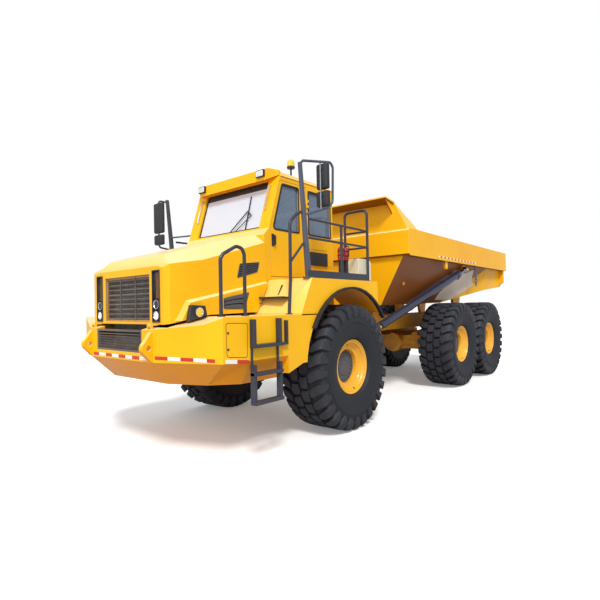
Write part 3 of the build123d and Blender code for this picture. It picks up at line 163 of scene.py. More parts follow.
def paint(name, light, deep, edge_wear_and_highlight, dust, dust_top=1.3, rough=(0.3, 0.48), edge=0.006, coat=0.12, grime=0.35,
          painted_light_top=None, painted_shade_under=None, specular=0.5, hold=0.8):
    """Painted steel: drifting tone, pale edges that are part wear and part painted highlight, painted light on faces
    turned up and painted shade on faces turned down, dust low down and in streaks.
    """
    m, nodes, links, bsdf = graph(name)
    geo = nodes.new("ShaderNodeTexCoord")
    pos = geo.outputs["Object"]
    broad = noise(nodes, links, pos, 0.9, 4)
    fine = noise(nodes, links, pos, 38.0, 4, 0.65)
    tone = mix(nodes, links, ramp(nodes, links, broad, [(0.35, (0, 0, 0)), (0.7, (1, 1, 1))]), light, deep)
    if painted_light_top is not None:
        # Painted light and shade: a paler tone where the face turns up, and a deeper painted shade where it turns down
        facing = nodes.new("ShaderNodeSeparateXYZ")
        links.new(geo.outputs["Normal"], facing.inputs[0])
        up = nodes.new("ShaderNodeMapRange")
        links.new(facing.outputs["Z"], up.inputs["Value"])
        up.inputs["From Min"].default_value = 0.30
        up.inputs["From Max"].default_value = 0.95
        tone = mix(nodes, links, math_node(nodes, links, "MULTIPLY", up.outputs[0], 0.85, clamp=True), tone, painted_light_top)
        down = nodes.new("ShaderNodeMapRange")
        links.new(facing.outputs["Z"], down.inputs["Value"])
        down.inputs["From Min"].default_value = -0.08
        down.inputs["From Max"].default_value = -0.42
        tone = mix(nodes, links, math_node(nodes, links, "MULTIPLY", down.outputs[0], hold, clamp=True), tone,
                   painted_shade_under)
    # Pale edges, part wear and part painted highlight, from the difference between the rounded and the flat normal
    bevel = nodes.new("ShaderNodeBevel")
    bevel.samples = 4
    bevel.inputs["Radius"].default_value = edge * 1.6
    flat = nodes.new("ShaderNodeNewGeometry")
    dot = nodes.new("ShaderNodeVectorMath")
    dot.operation = "DOT_PRODUCT"
    links.new(bevel.outputs[0], dot.inputs[0])
    links.new(flat.outputs["True Normal"], dot.inputs[1])
    edge_mask = math_node(nodes, links, "SUBTRACT", 1.0, dot.outputs["Value"], clamp=True)
    edge_mask = math_node(nodes, links, "MULTIPLY", edge_mask, 3.0, clamp=True)
    patchy = ramp(nodes, links, noise(nodes, links, pos, 9.0, 5, 0.7), [(0.42, (0, 0, 0)), (0.6, (1, 1, 1))])
    edge_mask = math_node(nodes, links, "MULTIPLY", edge_mask, patchy, clamp=True)
    worn = mix(nodes, links, edge_mask, tone, edge_wear_and_highlight)
    # Dust by height, broken up by noise
    parts = nodes.new("ShaderNodeSeparateXYZ")
    links.new(pos, parts.inputs[0])
    low = nodes.new("ShaderNodeMapRange")
    links.new(parts.outputs["Z"], low.inputs["Value"])
    low.inputs["From Min"].default_value = dust_top
    low.inputs["From Max"].default_value = 0.5
    cloud = ramp(nodes, links, noise(nodes, links, pos, 4.5, 6, 0.7), [(0.38, (0, 0, 0)), (0.72, (1, 1, 1))])
    dirt = math_node(nodes, links, "MULTIPLY", low.outputs[0], cloud, clamp=True)
    dirt = math_node(nodes, links, "MULTIPLY", dirt, grime, clamp=True)
    colour = mix(nodes, links, dirt, worn, dust)
    r = rough_range(nodes, links, fine, *rough)
    r = math_node(nodes, links, "ADD", r, math_node(nodes, links, "MULTIPLY", dirt, 0.5), clamp=True)
    finish_surface(nodes, links, bsdf, colour, r, fine, 0.05, 0.001, edge)
    bsdf.inputs["Coat Weight"].default_value = coat
    bsdf.inputs["Coat Roughness"].default_value = 0.12
    bsdf.inputs["Specular IOR Level"].default_value = specular
    return m


YELLOW = (1.0, 0.535, 0.004)
DEEP = (0.97, 0.475, 0.003)
# Pale edge colour: part wear, part painted highlight
EDGE_WEAR_AND_HIGHLIGHT = (1.0, 0.78, 0.30)
DUST = (0.42, 0.30, 0.16)
MAT = {}
# Painted light for faces turned up, and painted shade for faces turned down
TOP_PAINTED_LIGHT = (1.0, 0.80, 0.42)
UNDER_PAINTED_SHADE = (0.93, 0.30, 0.004)
MAT["yellow"] = paint("paint_yellow", YELLOW, DEEP, EDGE_WEAR_AND_HIGHLIGHT, DUST, painted_light_top=TOP_PAINTED_LIGHT, painted_shade_under=UNDER_PAINTED_SHADE, specular=0.22)
# The load body's faces turned down get a dark brown painted shade
MAT["body"] = paint("paint_load_body", (1.0, 0.52, 0.004), (0.96, 0.45, 0.003), EDGE_WEAR_AND_HIGHLIGHT, DUST, dust_top=1.2, grime=0.12,
                    painted_light_top=TOP_PAINTED_LIGHT, painted_shade_under=(0.22, 0.050, 0.003), hold=0.95, specular=0.22)
MAT["frame"] = paint("paint_frame", (0.86, 0.38, 0.012), (0.70, 0.28, 0.010), EDGE_WEAR_AND_HIGHLIGHT, (0.20, 0.13, 0.08), dust_top=1.7,
                     rough=(0.35, 0.6), coat=0.1, grime=0.8)
MAT["rim"] = paint("paint_rim", (0.95, 0.47, 0.012), (0.88, 0.38, 0.010), EDGE_WEAR_AND_HIGHLIGHT, (0.35, 0.22, 0.10), dust_top=2.2,
                   rough=(0.28, 0.5), grime=0.4)
MAT["navy"] = paint("paint_navy", (0.030, 0.036, 0.058), (0.020, 0.024, 0.040), (0.16, 0.17, 0.20), (0.16, 0.13, 0.10),
                    rough=(0.3, 0.5), grime=0.4, edge=0.003)
MAT["hoist"] = paint("paint_hoist", (0.024, 0.032, 0.066), (0.015, 0.020, 0.042), (0.14, 0.15, 0.20),
                     (0.14, 0.11, 0.08),
                     rough=(0.16, 0.3), coat=0.6, grime=0.3, edge=0.003)
MAT["mast"] = paint("paint_mast", (0.085, 0.10, 0.14), (0.06, 0.07, 0.10), (0.25, 0.27, 0.3), (0.16, 0.13, 0.10),
                    rough=(0.3, 0.5), edge=0.003)
MAT["slate"] = paint("paint_slate", (0.16, 0.13, 0.11), (0.10, 0.085, 0.075), (0.3, 0.27, 0.24), (0.2, 0.16, 0.12),
                     rough=(0.3, 0.5), grime=0.3, edge=0.003)
MAT["cream"] = paint("paint_cream", (0.80, 0.74, 0.55), (0.72, 0.65, 0.47), (0.9, 0.88, 0.8), DUST, rough=(0.35, 0.5))
MAT["red"] = paint("paint_bottle", (0.60, 0.018, 0.015), (0.48, 0.012, 0.010), (0.8, 0.2, 0.15), DUST,
                   rough=(0.2, 0.32), edge=0.003)
MAT["grey"] = paint("cast_grey", (0.14, 0.14, 0.15), (0.09, 0.09, 0.10), (0.3, 0.3, 0.3), (0.12, 0.09, 0.06),
                    rough=(0.5, 0.75),
                    coat=0.0, dust_top=3.0, grime=0.6)


def rubber(name, base, worn, dust, scale=60.0, tread=False):
    """Dusty rubber, with a worn tone on the tread."""
    m, nodes, links, bsdf = graph(name)
    pos = nodes.new("ShaderNodeTexCoord").outputs["Object"]
    fine = noise(nodes, links, pos, scale, 6, 0.7)
    broad = noise(nodes, links, pos, 3.2, 5, 0.6)
    tone = mix(nodes, links, ramp(nodes, links, fine, [(0.4, (0, 0, 0)), (0.75, (1, 1, 1))]), base, worn)
    cloud = ramp(nodes, links, broad, [(0.48, (0, 0, 0)), (0.8, (1, 1, 1))])
    colour = mix(nodes, links, math_node(nodes, links, "MULTIPLY", cloud, 0.55 if tread else 0.25), tone, dust)
    finish_surface(nodes, links, bsdf, colour, rough_range(nodes, links, broad, 0.5, 0.78), fine, 0.25, 0.003,
                   0.006 if tread else 0.0)
    return m


MAT["tread"] = rubber("tyre_tread", (0.016, 0.018, 0.026), (0.036, 0.038, 0.048), (0.060, 0.058, 0.060), 45.0, True)
MAT["sidewall"] = rubber("tyre_sidewall", (0.008, 0.010, 0.016), (0.016, 0.018, 0.026), (0.028, 0.028, 0.032), 70.0)
MAT["rubber"] = rubber("rubber_seal", (0.010, 0.010, 0.013), (0.022, 0.022, 0.026), (0.05, 0.05, 0.05))


def plain(name, a, b, scale=30.0, rough=(0.3, 0.5), metal=0.0, bump=0.08, distance=0.001, transmission=0.0, alpha=None,
          coat=0.0, glow=None):
    """One tone drifting to another, with a little relief."""
    m, nodes, links, bsdf = graph(name)
    pos = nodes.new("ShaderNodeTexCoord").outputs["Object"]
    fine = noise(nodes, links, pos, scale, 5, 0.6)
    colour = mix(nodes, links, fine, a, b)
    finish_surface(nodes, links, bsdf, colour, rough_range(nodes, links, fine, *rough), fine, bump, distance)
    bsdf.inputs["Metallic"].default_value = metal
    bsdf.inputs["Transmission Weight"].default_value = transmission
    bsdf.inputs["Coat Weight"].default_value = coat
    if alpha is not None:
        bsdf.inputs["Alpha"].default_value = alpha
    if glow is not None:
        bsdf.inputs["Emission Color"].default_value = (*glow[0], 1)
        bsdf.inputs["Emission Strength"].default_value = glow[1]
    return m


MAT["chrome"] = plain("rod_chrome", (0.62, 0.63, 0.66), (0.70, 0.71, 0.74), 120.0, (0.05, 0.14), 1.0, 0.02)
MAT["steel"] = plain("bare_steel", (0.30, 0.30, 0.32), (0.42, 0.42, 0.44), 90.0, (0.3, 0.5), 1.0, 0.1)
MAT["mirror"] = plain("mirror_glass", (0.70, 0.74, 0.80), (0.76, 0.80, 0.86), 3.0, (0.02, 0.05), 1.0, 0.0)
MAT["glass"] = plain("window_glass", (0.13, 0.20, 0.31), (0.22, 0.31, 0.43), 1.5, (0.02, 0.05), 0.0, 0.01, 0.0005,
                     alpha=0.62,
                     coat=1.0)
# The windscreen's pale whitish colour is a painted reflection of the bright sky on the glass
MAT["screen"] = plain("windscreen_painted_reflection", (0.80, 0.83, 0.95), (0.90, 0.91, 0.97), 1.2, (0.02, 0.05), 0.0, 0.01, 0.0005,
                      alpha=0.72, coat=1.0)
MAT["lens"] = plain("lamp_lens", (0.92, 0.93, 0.92), (0.80, 0.82, 0.82), 80.0, (0.05, 0.15), 0.0, 0.3, 0.002, coat=1.0,
                    glow=((1.0, 0.98, 0.92), 0.12))
MAT["amber"] = plain("lens_amber", (0.95, 0.30, 0.02), (0.85, 0.22, 0.01), 90.0, (0.08, 0.2), 0.0, 0.3, 0.002, coat=1.0,
                     glow=((1.0, 0.35, 0.02), 0.15))
MAT["reflector"] = plain("lamp_reflector", (0.75, 0.76, 0.78), (0.88, 0.88, 0.9), 40.0, (0.08, 0.2), 1.0, 0.1)
MAT["tape_red"] = plain("tape_red", (0.66, 0.025, 0.012), (0.55, 0.02, 0.01), 220.0, (0.25, 0.4), 0.0, 0.25, 0.0006,
                        coat=0.4)
MAT["tape_white"] = plain("tape_white", (0.82, 0.83, 0.80), (0.90, 0.90, 0.88), 220.0, (0.25, 0.4), 0.0, 0.25, 0.0006,
                          coat=0.4)
MAT["slat"] = paint("paint_slat", (0.30, 0.25, 0.215), (0.22, 0.18, 0.155), (0.42, 0.38, 0.33), (0.2, 0.16, 0.12),
                    rough=(0.3, 0.5), grime=0.3, edge=0.003)
# Beige paint that stands for light reflected up onto the load body's lower rear wall: painted light
MAT["patch"] = paint("painted_reflected_light", (0.86, 0.72, 0.60), (0.74, 0.60, 0.48), (0.9, 0.8, 0.7), DUST, dust_top=1.2,
                     rough=(0.5, 0.7),
                     grime=0.15)
MAT["amber_paint"] = plain("amber_band", (0.92, 0.42, 0.03), (0.82, 0.32, 0.02), 30.0, (0.3, 0.45))
MAT["yellow_lens"] = plain("lens_yellow", (0.98, 0.66, 0.05), (0.92, 0.55, 0.03), 90.0, (0.06, 0.15), 0.0, 0.3, 0.002,
                           coat=1.0)
MAT["rod"] = plain("rod_dark_chrome", (0.30, 0.32, 0.38), (0.38, 0.40, 0.46), 120.0, (0.06, 0.16), 1.0, 0.02)
MAT["plastic"] = plain("black_plastic", (0.020, 0.021, 0.025), (0.032, 0.033, 0.038), 260.0, (0.45, 0.62), 0.0, 0.2,
                       0.0006)
MAT["hub"] = plain("hub_grey", (0.075, 0.080, 0.095), (0.10, 0.105, 0.12), 12.0, (0.45, 0.6), 0.0, 0.12, 0.001)
MAT["shadow"] = plain("dark_gap", (0.012, 0.010, 0.010), (0.02, 0.016, 0.014), 20.0, (0.7, 0.9))


def cloth_material(name, a, b):
    """Woven cloth for the seat."""
    m, nodes, links, bsdf = graph(name)
    pos = nodes.new("ShaderNodeTexCoord").outputs["Object"]
    wave = nodes.new("ShaderNodeTexWave")
    wave.inputs["Scale"].default_value = 60.0
    wave.inputs["Distortion"].default_value = 1.5
    links.new(pos, wave.inputs["Vector"])
    fine = noise(nodes, links, pos, 140.0, 4)
    height = math_node(nodes, links, "MULTIPLY", wave.outputs["Fac"], fine)
    colour = mix(nodes, links, wave.outputs["Fac"], a, b)
    finish_surface(nodes, links, bsdf, colour, rough_range(nodes, links, fine, 0.75, 0.95), height, 0.5, 0.002)
    bsdf.inputs["Sheen Weight"].default_value = 0.4
    return m


MAT["cloth"] = cloth_material("seat_weave", (0.020, 0.022, 0.028), (0.05, 0.052, 0.06))


# Mesh tools, in millimetres from the front axle


def new_bm():
    return bmesh.new()


def quad(bm, points, index=0):
    f = bm.faces.new([bm.verts.new(at(*p)) for p in points])
    f.material_index = index
    return f


def box(bm, x0, x1, y0, y1, z0, z1, index=0):
    v = [bm.verts.new(at(x, y, z)) for x in (x0, x1) for y in (y0, y1) for z in (z0, z1)]
    for a in ((0, 1, 3, 2), (4, 6, 7, 5), (0, 4, 5, 1), (2, 3, 7, 6), (0, 2, 6, 4), (1, 5, 7, 3)):
        bm.faces.new([v[i] for i in a]).material_index = index


def prism(bm, points, step, index=0):
    """A closed outline carried along a step."""
    low = [bm.verts.new(at(*p)) for p in points]
    high = [bm.verts.new(at(*(c + d for c, d in zip(p, step)))) for p in points]
    faces = [bm.faces.new(low[::-1]), bm.faces.new(high)]
    for i in range(len(points)):
        j = (i + 1) % len(points)
        faces.append(bm.faces.new([low[i], low[j], high[j], high[i]]))
    for f in faces:
        f.material_index = index


def ring_points(centre, axis, radius, count, turn=0.0):
    a = Vector(axis).normalized()
    u = a.orthogonal().normalized()
    v = a.cross(u)
    c = Vector(centre)
    return [c + radius * (math.cos(turn + 2 * math.pi * n / count) * u + math.sin(turn + 2 * math.pi * n / count) * v)
            for n in range(count)]


def turned(bm, centre, axis, profile, count=24, index=0):
    """A round piece: (distance along the axis, radius) corners, in order, open or ending on the axis."""
    a = Vector(axis).normalized()
    rows = []
    for d, r in profile:
        c = Vector(centre) + a * d
        if r < 1e-6:
            rows.append([bm.verts.new(at(*c))])
        else:
            rows.append([bm.verts.new(at(*p)) for p in ring_points(c, axis, r, count)])
    for low, high in zip(rows, rows[1:]):
        for n in range(count):
            m = (n + 1) % count
            corners = [low[n % len(low)], low[m % len(low)], high[m % len(high)], high[n % len(high)]]
            distinct = list(dict.fromkeys(corners))
            if len(distinct) >= 3:
                bm.faces.new(distinct).material_index = index


def disc(bm, centre, axis, radius, depth, count=24, index=0, chamfer=0.0):
    c = chamfer
    turned(bm, centre, axis, [(0, 0), (0, radius), (depth - c, radius), (depth, radius - c), (depth, 0)], count, index)


def bent(points, radius, steps=5):
    """The points of a bent tube: straight runs with an arc of chords at each corner."""
    pts = [Vector(p) for p in points]
    path = [pts[0]]
    for a, b, c in zip(pts, pts[1:], pts[2:]):
        u, v = (a - b).normalized(), (c - b).normalized()
        angle = u.angle(v)
        back = min(radius / math.tan(angle / 2), (a - b).length * 0.45, (c - b).length * 0.45)
        p0, p1 = b + u * back, b + v * back
        for n in range(steps + 1):
            t = n / steps
            path.append(p0.lerp(b, t).lerp(b.lerp(p1, t), t))
    path.append(pts[-1])
    return path


def pipe(bm, points, radius, count=12, index=0, caps=True):
    """A round tube along points, with frames carried from one to the next."""
    pts = [Vector(p) for p in points]
    rows = []
    side = None
    for n, p in enumerate(pts):
        before = (p - pts[n - 1]).normalized() if n else None
        after = (pts[n + 1] - p).normalized() if n + 1 < len(pts) else None
        along = (before + after).normalized() if before and after else (before or after)
        side = along.orthogonal().normalized() if side is None else (side - along * side.dot(along)).normalized()
        other = along.cross(side)
        stretch = 1.0
        if before and after:
            stretch = 1 / max(0.5, math.cos(before.angle(after) / 2))
        rows.append([bm.verts.new(at(*(p + radius * stretch * (math.cos(2 * math.pi * k / count) * side
                                                                + math.sin(2 * math.pi * k / count) * other))))
                     for k in range(count)])
    for low, high in zip(rows, rows[1:]):
        for k in range(count):
            m = (k + 1) % count
            bm.faces.new([low[k], low[m], high[m], high[k]]).material_index = index
    if caps:
        bm.faces.new(rows[0][::-1]).material_index = index
        bm.faces.new(rows[-1]).material_index = index


def piece(name, bm, materials, body, bevel=0.0, segments=2, angle=0.7, replaces=()):
    """The mesh as a piece that rides on a body, smooth apart from its sharp edges."""
    bmesh.ops.recalc_face_normals(bm, faces=bm.faces)
    for e in bm.edges:
        e.smooth = not (len(e.link_faces) == 2 and e.calc_face_angle(0) > angle)
    for f in bm.faces:
        f.smooth = True
    me = bpy.data.meshes.new(name)
    bm.to_mesh(me)
    bm.free()
    ob = bpy.data.objects.new(name, me)
    SCENE.collection.objects.link(ob)
    for m in materials if isinstance(materials, (list, tuple)) else [materials]:
        me.materials.append(m)
    if bevel:
        mod = ob.modifiers.new("Edges", "BEVEL")
        mod.width = bevel
        mod.segments = segments
        mod.limit_method = "ANGLE"
        mod.angle_limit = 0.6
        mod.harden_normals = True
    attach(ob, body)
    if replaces:
        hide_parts(*replaces)
    return ob


def dress(material, *names):
    for n in names:
        mesh = NODES[n].data
        mesh.materials.clear()
        mesh.materials.append(material)


# Camera


def make_camera():
    """The camera at its fitted place, turn and lens."""
    yaw, pitch, roll = math.radians(-140.22), math.radians(0.79), math.radians(1.08)
    forward = Vector((math.cos(pitch) * math.cos(yaw), math.cos(pitch) * math.sin(yaw), math.sin(pitch)))
    right = Vector((math.sin(yaw), -math.cos(yaw), 0))
    down = forward.cross(right)
    r = math.cos(roll) * right + math.sin(roll) * down
    d = -math.sin(roll) * right + math.cos(roll) * down
    cam = bpy.data.cameras.new("camera")
    cam.sensor_width = 36.0
    cam.lens = 449.44 / 600 * 36.0
    cam.clip_start, cam.clip_end = 0.1, 400.0
    ob = bpy.data.objects.new("camera", cam)
    SCENE.collection.objects.link(ob)
    m = Matrix((r, -d, -forward)).transposed().to_4x4()
    m.translation = Vector((8.379, 5.332, 1.859))
    ob.matrix_world = m
    SCENE.camera = ob


def make_stage():
    """World, floor and the two lamps."""
    world = bpy.data.worlds.new("studio")
    SCENE.world = world
    world.use_nodes = True
    nodes, links = world.node_tree.nodes, world.node_tree.links
    nodes.clear()
    out = nodes.new("ShaderNodeOutputWorld")
    seen = nodes.new("ShaderNodeBackground")
    seen.inputs[0].default_value = (1, 1, 1, 1)
    seen.inputs[1].default_value = 1.0
    soft = nodes.new("ShaderNodeBackground")
    soft.inputs[0].default_value = (0.94, 0.97, 1.0, 1)
    soft.inputs[1].default_value = 0.60
    path = nodes.new("ShaderNodeLightPath")
    either = nodes.new("ShaderNodeMath")
    either.operation = "MAXIMUM"
    links.new(path.outputs["Is Camera Ray"], either.inputs[0])
    links.new(path.outputs["Is Transmission Ray"], either.inputs[1])
    pick = nodes.new("ShaderNodeMixShader")
    links.new(either.outputs[0], pick.inputs[0])
    links.new(soft.outputs[0], pick.inputs[1])
    links.new(seen.outputs[0], pick.inputs[2])
    links.new(pick.outputs[0], out.inputs[0])

    bm = new_bm()
    for x0, x1, y0, y1 in ((-90000, 90000, -90000, 90000),):
        quad(bm, [(x0, y0, -2), (x1, y0, -2), (x1, y1, -2), (x0, y1, -2)])
    me = bpy.data.meshes.new("floor")
    bm.to_mesh(me)
    bm.free()
    floor = bpy.data.objects.new("floor", me)
    SCENE.collection.objects.link(floor)
    m = bpy.data.materials.new("floor_pale")
    m.use_nodes = True
    nodes, links = m.node_tree.nodes, m.node_tree.links
    nodes.clear()
    out = nodes.new("ShaderNodeOutputMaterial")
    pale = nodes.new("ShaderNodeBsdfDiffuse")
    pale.inputs[0].default_value = (0.98, 0.98, 0.98, 1)
    glow = nodes.new("ShaderNodeEmission")
    glow.inputs[1].default_value = 0.16
    both = nodes.new("ShaderNodeAddShader")
    links.new(pale.outputs[0], both.inputs[0])
    links.new(glow.outputs[0], both.inputs[1])
    dim = nodes.new("ShaderNodeBsdfDiffuse")
    dim.inputs[0].default_value = (0.52, 0.51, 0.52, 1)
    path = nodes.new("ShaderNodeLightPath")
    pick = nodes.new("ShaderNodeMixShader")
    links.new(path.outputs["Is Camera Ray"], pick.inputs[0])
    links.new(dim.outputs[0], pick.inputs[1])
    links.new(both.outputs[0], pick.inputs[2])
    links.new(pick.outputs[0], out.inputs[0])
    me.materials.append(m)

    for name, energy, angle, direction, colour in (
        ("key", 2.5, 12.0, (0.60, 0.62, 0.95), (1.0, 0.98, 0.95)),
        ("fill", 0.7, 40.0, (0.95, 0.10, 0.35), (0.95, 0.97, 1.0)),
    ):
        lamp = bpy.data.lights.new(name, "SUN")
        lamp.energy = energy
        lamp.angle = math.radians(angle)
        lamp.color = colour
        ob = bpy.data.objects.new(name, lamp)
        ob.rotation_euler = Vector(direction).to_track_quat("Z", "Y").to_euler()
        SCENE.collection.objects.link(ob)
    SCENE.view_settings.view_transform = "Standard"


# Wheels

TYRE_R = 937.5
LUGS = 28


def tyre_mesh():
    """One tyre about the Y axis at the origin: carcass, angled shoulder lugs and two rows of middle blocks."""
    bm = new_bm()

    def put(y, r, angle):
        return bm.verts.new((r * math.sin(angle) / 1000, y / 1000, r * math.cos(angle) / 1000))

    half = [(255, 407), (278, 412), (292, 430), (318, 452), (344, 520), (360, 590), (366, 655), (372, 662), (372, 700),
            (362, 716), (350, 790), (330, 846), (270, 872), (140, 884), (0, 886)]
    section = half + [(-y, r) for y, r in reversed(half[:-1])]
    count = 84
    rows = [[put(y, r, 2 * math.pi * n / count) for n in range(count)] for y, r in section]
    rows.append(rows[0])
    for low, high in zip(rows, rows[1:]):
        for n in range(count):
            m = (n + 1) % count
            f = bm.faces.new([low[n], low[m], high[m], high[n]])
            f.material_index = 0 if len(f.verts) else 0
    for f in bm.faces:
        c = f.calc_center_median()
        r = math.hypot(c.x, c.z)
        f.material_index = 1 if r < 0.80 else 0
    pitch = 2 * math.pi / LUGS

    def block_from(rows_top, rows_low):
        for a, b in zip(rows_top, rows_top[1:]):
            bm.faces.new([a[0], a[1], b[1], b[0]])
        for side in (0, 1):
            for n in range(len(rows_top) - 1):
                bm.faces.new([rows_top[n][side], rows_top[n + 1][side], rows_low[n + 1][side], rows_low[n][side]])
        for end in (0, -1):
            bm.faces.new([rows_top[end][0], rows_top[end][1], rows_low[end][1], rows_low[end][0]])

    # Shoulder lugs: distance from the middle, top radius, low radius, share of the pitch, sweep
    path = [(168, 937, 880, 0.34, 0.40), (205, 937, 878, 0.62, 0.30), (300, 932, 860, 0.66, 0.06),
            (345, 912, 838, 0.62, 0.0),
            (370, 868, 800, 0.56, 0.0), (374, 800, 770, 0.48, 0.0), (367, 738, 730, 0.36, 0.0)]
    for side in (1, -1):
        shift = 0.5 * pitch if side < 0 else 0.0
        for n in range(LUGS):
            middle = n * pitch + shift
            top, low = [], []
            for y, r_top, r_low, share, sweep in path:
                c = middle + sweep * pitch
                w = share * pitch / 2
                y_low = y if y < 340 else y - 26
                top.append([put(side * y, r_top, c - w), put(side * y, r_top, c + w)])
                low.append([put(side * y_low, r_low, c - w * 1.1), put(side * y_low, r_low, c + w * 1.1)])
            block_from(top, low)
    # Middle blocks: six corners, in two staggered rows
    corners = [(-0.36, -58), (0.02, -66), (0.38, -50), (0.36, 58), (-0.02, 66), (-0.38, 50)]
    for side in (1, -1):
        shift = 0.5 * pitch if side < 0 else 0.0
        for n in range(LUGS):
            middle = n * pitch + shift + 0.62 * pitch * (1 if side > 0 else 1)
            top = [put(side * 78 + y, 937.4, middle + a * pitch) for a, y in corners]
            low = [put(side * 78 + y * 1.1, 878, middle + a * pitch * 1.12) for a, y in corners]
            bm.faces.new(top)
            for i in range(6):
                j = (i + 1) % 6
                bm.faces.new([top[i], top[j], low[j], low[i]])
    return bm


def wheel_place(x, sign):
    m = Matrix.Translation(at(x, sign * 1320.0, TYRE_R))
    return m @ Matrix.Rotation(0 if sign > 0 else math.pi, 4, "Z")


def rim_mesh():
    """One rim with its hub about the Y axis at the origin."""
    bm = new_bm()

    def put(y, r, angle):
        return bm.verts.new((r * math.sin(angle) / 1000, y / 1000, r * math.cos(angle) / 1000))

    count = 64
    section = [(-285, 406, 0), (285, 406, 0), (285, 392, 0), (272, 386, 0), (266, 372, 0), (268, 362, 0), (256, 352, 0),
               (238, 344, 0), (226, 330, 0), (222, 318, 0), (205, 306, 0), (196, 286, 0), (194, 270, 0), (186, 258, 0),
               (168, 252, 0), (122, 250, 0), (120, 244, 1), (122, 232, 1), (122, 150, 1), (134, 142, 1), (138, 60, 1),
               (138, 0, 1)]
    rows = []
    for y, r, index in section:
        rows.append(([put(y, r, 2 * math.pi * n / count) for n in range(count)] if r else [put(y, 0, 0)], index))
    for (low, _), (high, index) in zip(rows, rows[1:]):
        for n in range(count):
            m = (n + 1) % count
            corners = list(dict.fromkeys([low[n % len(low)], low[m % len(low)], high[m % len(high)],
                                          high[n % len(high)]]))
            bm.faces.new(corners).material_index = index
    back = [(-285, 406), (-285, 330), (-262, 318), (-60, 300), (-60, 0)]
    old = rows[0][0]
    for y, r in back[1:]:
        new = [put(y, r, 2 * math.pi * n / count) for n in range(count)] if r else [put(y, 0, 0)]
        for n in range(count):
            m = (n + 1) % count
            corners = list(dict.fromkeys([old[n % len(old)], old[m % len(old)], new[m % len(new)], new[n % len(new)]]))
            bm.faces.new(corners)
        old = new
    # Wheel nuts on the hub face, ten plugs on its cover and two valve hatches in the dish
    for radius, total, size, y, high, index in ((205, 20, 13, 120, 20, 1), (104, 10, 8, 136, 10, 1)):
        for n in range(total):
            a = 2 * math.pi * n / total
            c = (radius * math.sin(a), radius * math.cos(a))
            ring = [[bm.verts.new(((c[0] + size * math.cos(k * math.pi / 3)) / 1000, h / 1000,
                                   (c[1] + size * math.sin(k * math.pi / 3)) / 1000)) for k in range(6)]
                    for h in (y - 3, y + high)]
            bm.faces.new(ring[1]).material_index = index
            for k in range(6):
                bm.faces.new([ring[0][k], ring[0][(k + 1) % 6], ring[1][(k + 1) % 6],
                              ring[1][k]]).material_index = index
    for a in (0.25, 0.25 + math.pi):
        c = (345 * math.sin(a), 345 * math.cos(a))
        ring = [[bm.verts.new(((c[0] + 11 * math.cos(k * math.pi / 5)) / 1000, h / 1000,
                               (c[1] + 11 * math.sin(k * math.pi / 5)) / 1000)) for k in range(10)] for h in (228, 262)]
        bm.faces.new(ring[1]).material_index = 2
        for k in range(10):
            bm.faces.new([ring[0][k], ring[0][(k + 1) % 10], ring[1][(k + 1) % 10], ring[1][k]]).material_index = 2
    return bm


def make_wheels():
    """Tyre and rim for each of the six wheels."""
    for axle, x in (("front", 0.0), ("middle", -4500.0), ("rear", -6450.0)):
        for side, sign in SIDES.items():
            body = f"wheel_{axle}_{side}"
            for kind, maker, mats, slot in (
                ("tyre", tyre_mesh, [MAT["tread"], MAT["sidewall"]], "tyre_rubber"),
                ("rim", rim_mesh, [MAT["rim"], MAT["hub"], MAT["plastic"]], "rim_paint"),
            ):
                bm = maker()
                bmesh.ops.transform(bm, matrix=wheel_place(x, sign), verts=bm.verts)
                piece(f"{kind}_detail_{axle}_{side}", bm, mats, body, bevel=0.006 if kind == "tyre" else 0.0025,
                      segments=1, angle=0.5, replaces=(f"{kind}_{axle}_{side}",))


# Forms: closed meshes that others are joined to or cut from, all in millimetres from the front axle


class Form:
    """One or more closed meshes that count as one shape; fuse keeps them side by side, cut is exact."""
    def __init__(self, parts):
        self.parts = parts

    def fuse(self, *others):
        return Form(self.parts + [m for o in others for m in o.parts])

    def cut(self, *others):
        parts = self.parts
        for tool in (m for o in others for m in o.parts):
            parts = [carve(m, tool) if overlap(m, tool) else m for m in parts]
        return Form([m for m in parts if len(m.polygons)])

    def clean(self):
        return self

    def __sub__(self, other):
        return self.cut(other)


def span(mesh):
    points = [v.co for v in mesh.vertices]
    return [(min(p[k] for p in points), max(p[k] for p in points)) for k in range(3)]


def overlap(a, b):
    return all(a0 < b1 and b0 < a1 for (a0, a1), (b0, b1) in zip(span(a), span(b)))


def carve(mesh, tool):
    """The mesh with the tool's volume taken away."""
    body = bpy.data.objects.new("carved", mesh)
    knife = bpy.data.objects.new("knife", tool)
    for ob in (body, knife):
        SCENE.collection.objects.link(ob)
    mod = body.modifiers.new("Cut", "BOOLEAN")
    mod.operation, mod.solver, mod.object = "DIFFERENCE", "EXACT", knife
    got = bpy.data.meshes.new_from_object(body.evaluated_get(bpy.context.evaluated_depsgraph_get()))
    for ob in (body, knife):
        bpy.data.objects.remove(ob)
    return got


def from_bm(bm):
    bmesh.ops.remove_doubles(bm, verts=bm.verts, dist=1e-6)
    bmesh.ops.recalc_face_normals(bm, faces=bm.faces)
    me = bpy.data.meshes.new("form")
    bm.to_mesh(me)
    bm.free()
    return Form([me])


def block(x0, x1, y0, y1, z0, z1):
    bm = new_bm()
    box(bm, x0, x1, y0, y1, z0, z1)
    return from_bm(bm)


def carried(points, step):
    """A closed form: an outline carried along a vector."""
    bm = new_bm()
    prism(bm, points, step)
    return from_bm(bm)


def prism_xz(outline, y0, y1):
    return carried([(x, y0, z) for x, z in outline], (0, y1 - y0, 0))


def prism_xy(outline, z0, z1):
    return carried([(x, y, z0) for x, y in outline], (0, 0, z1 - z0))


def post(start, end, radius, sides=32):
    bm = new_bm()
    a, b = Vector(start), Vector(end)
    turned(bm, a, b - a, [(0, 0), (0, radius), ((b - a).length, radius), ((b - a).length, 0)], max(sides, 24))
    return from_bm(bm)


rod = post


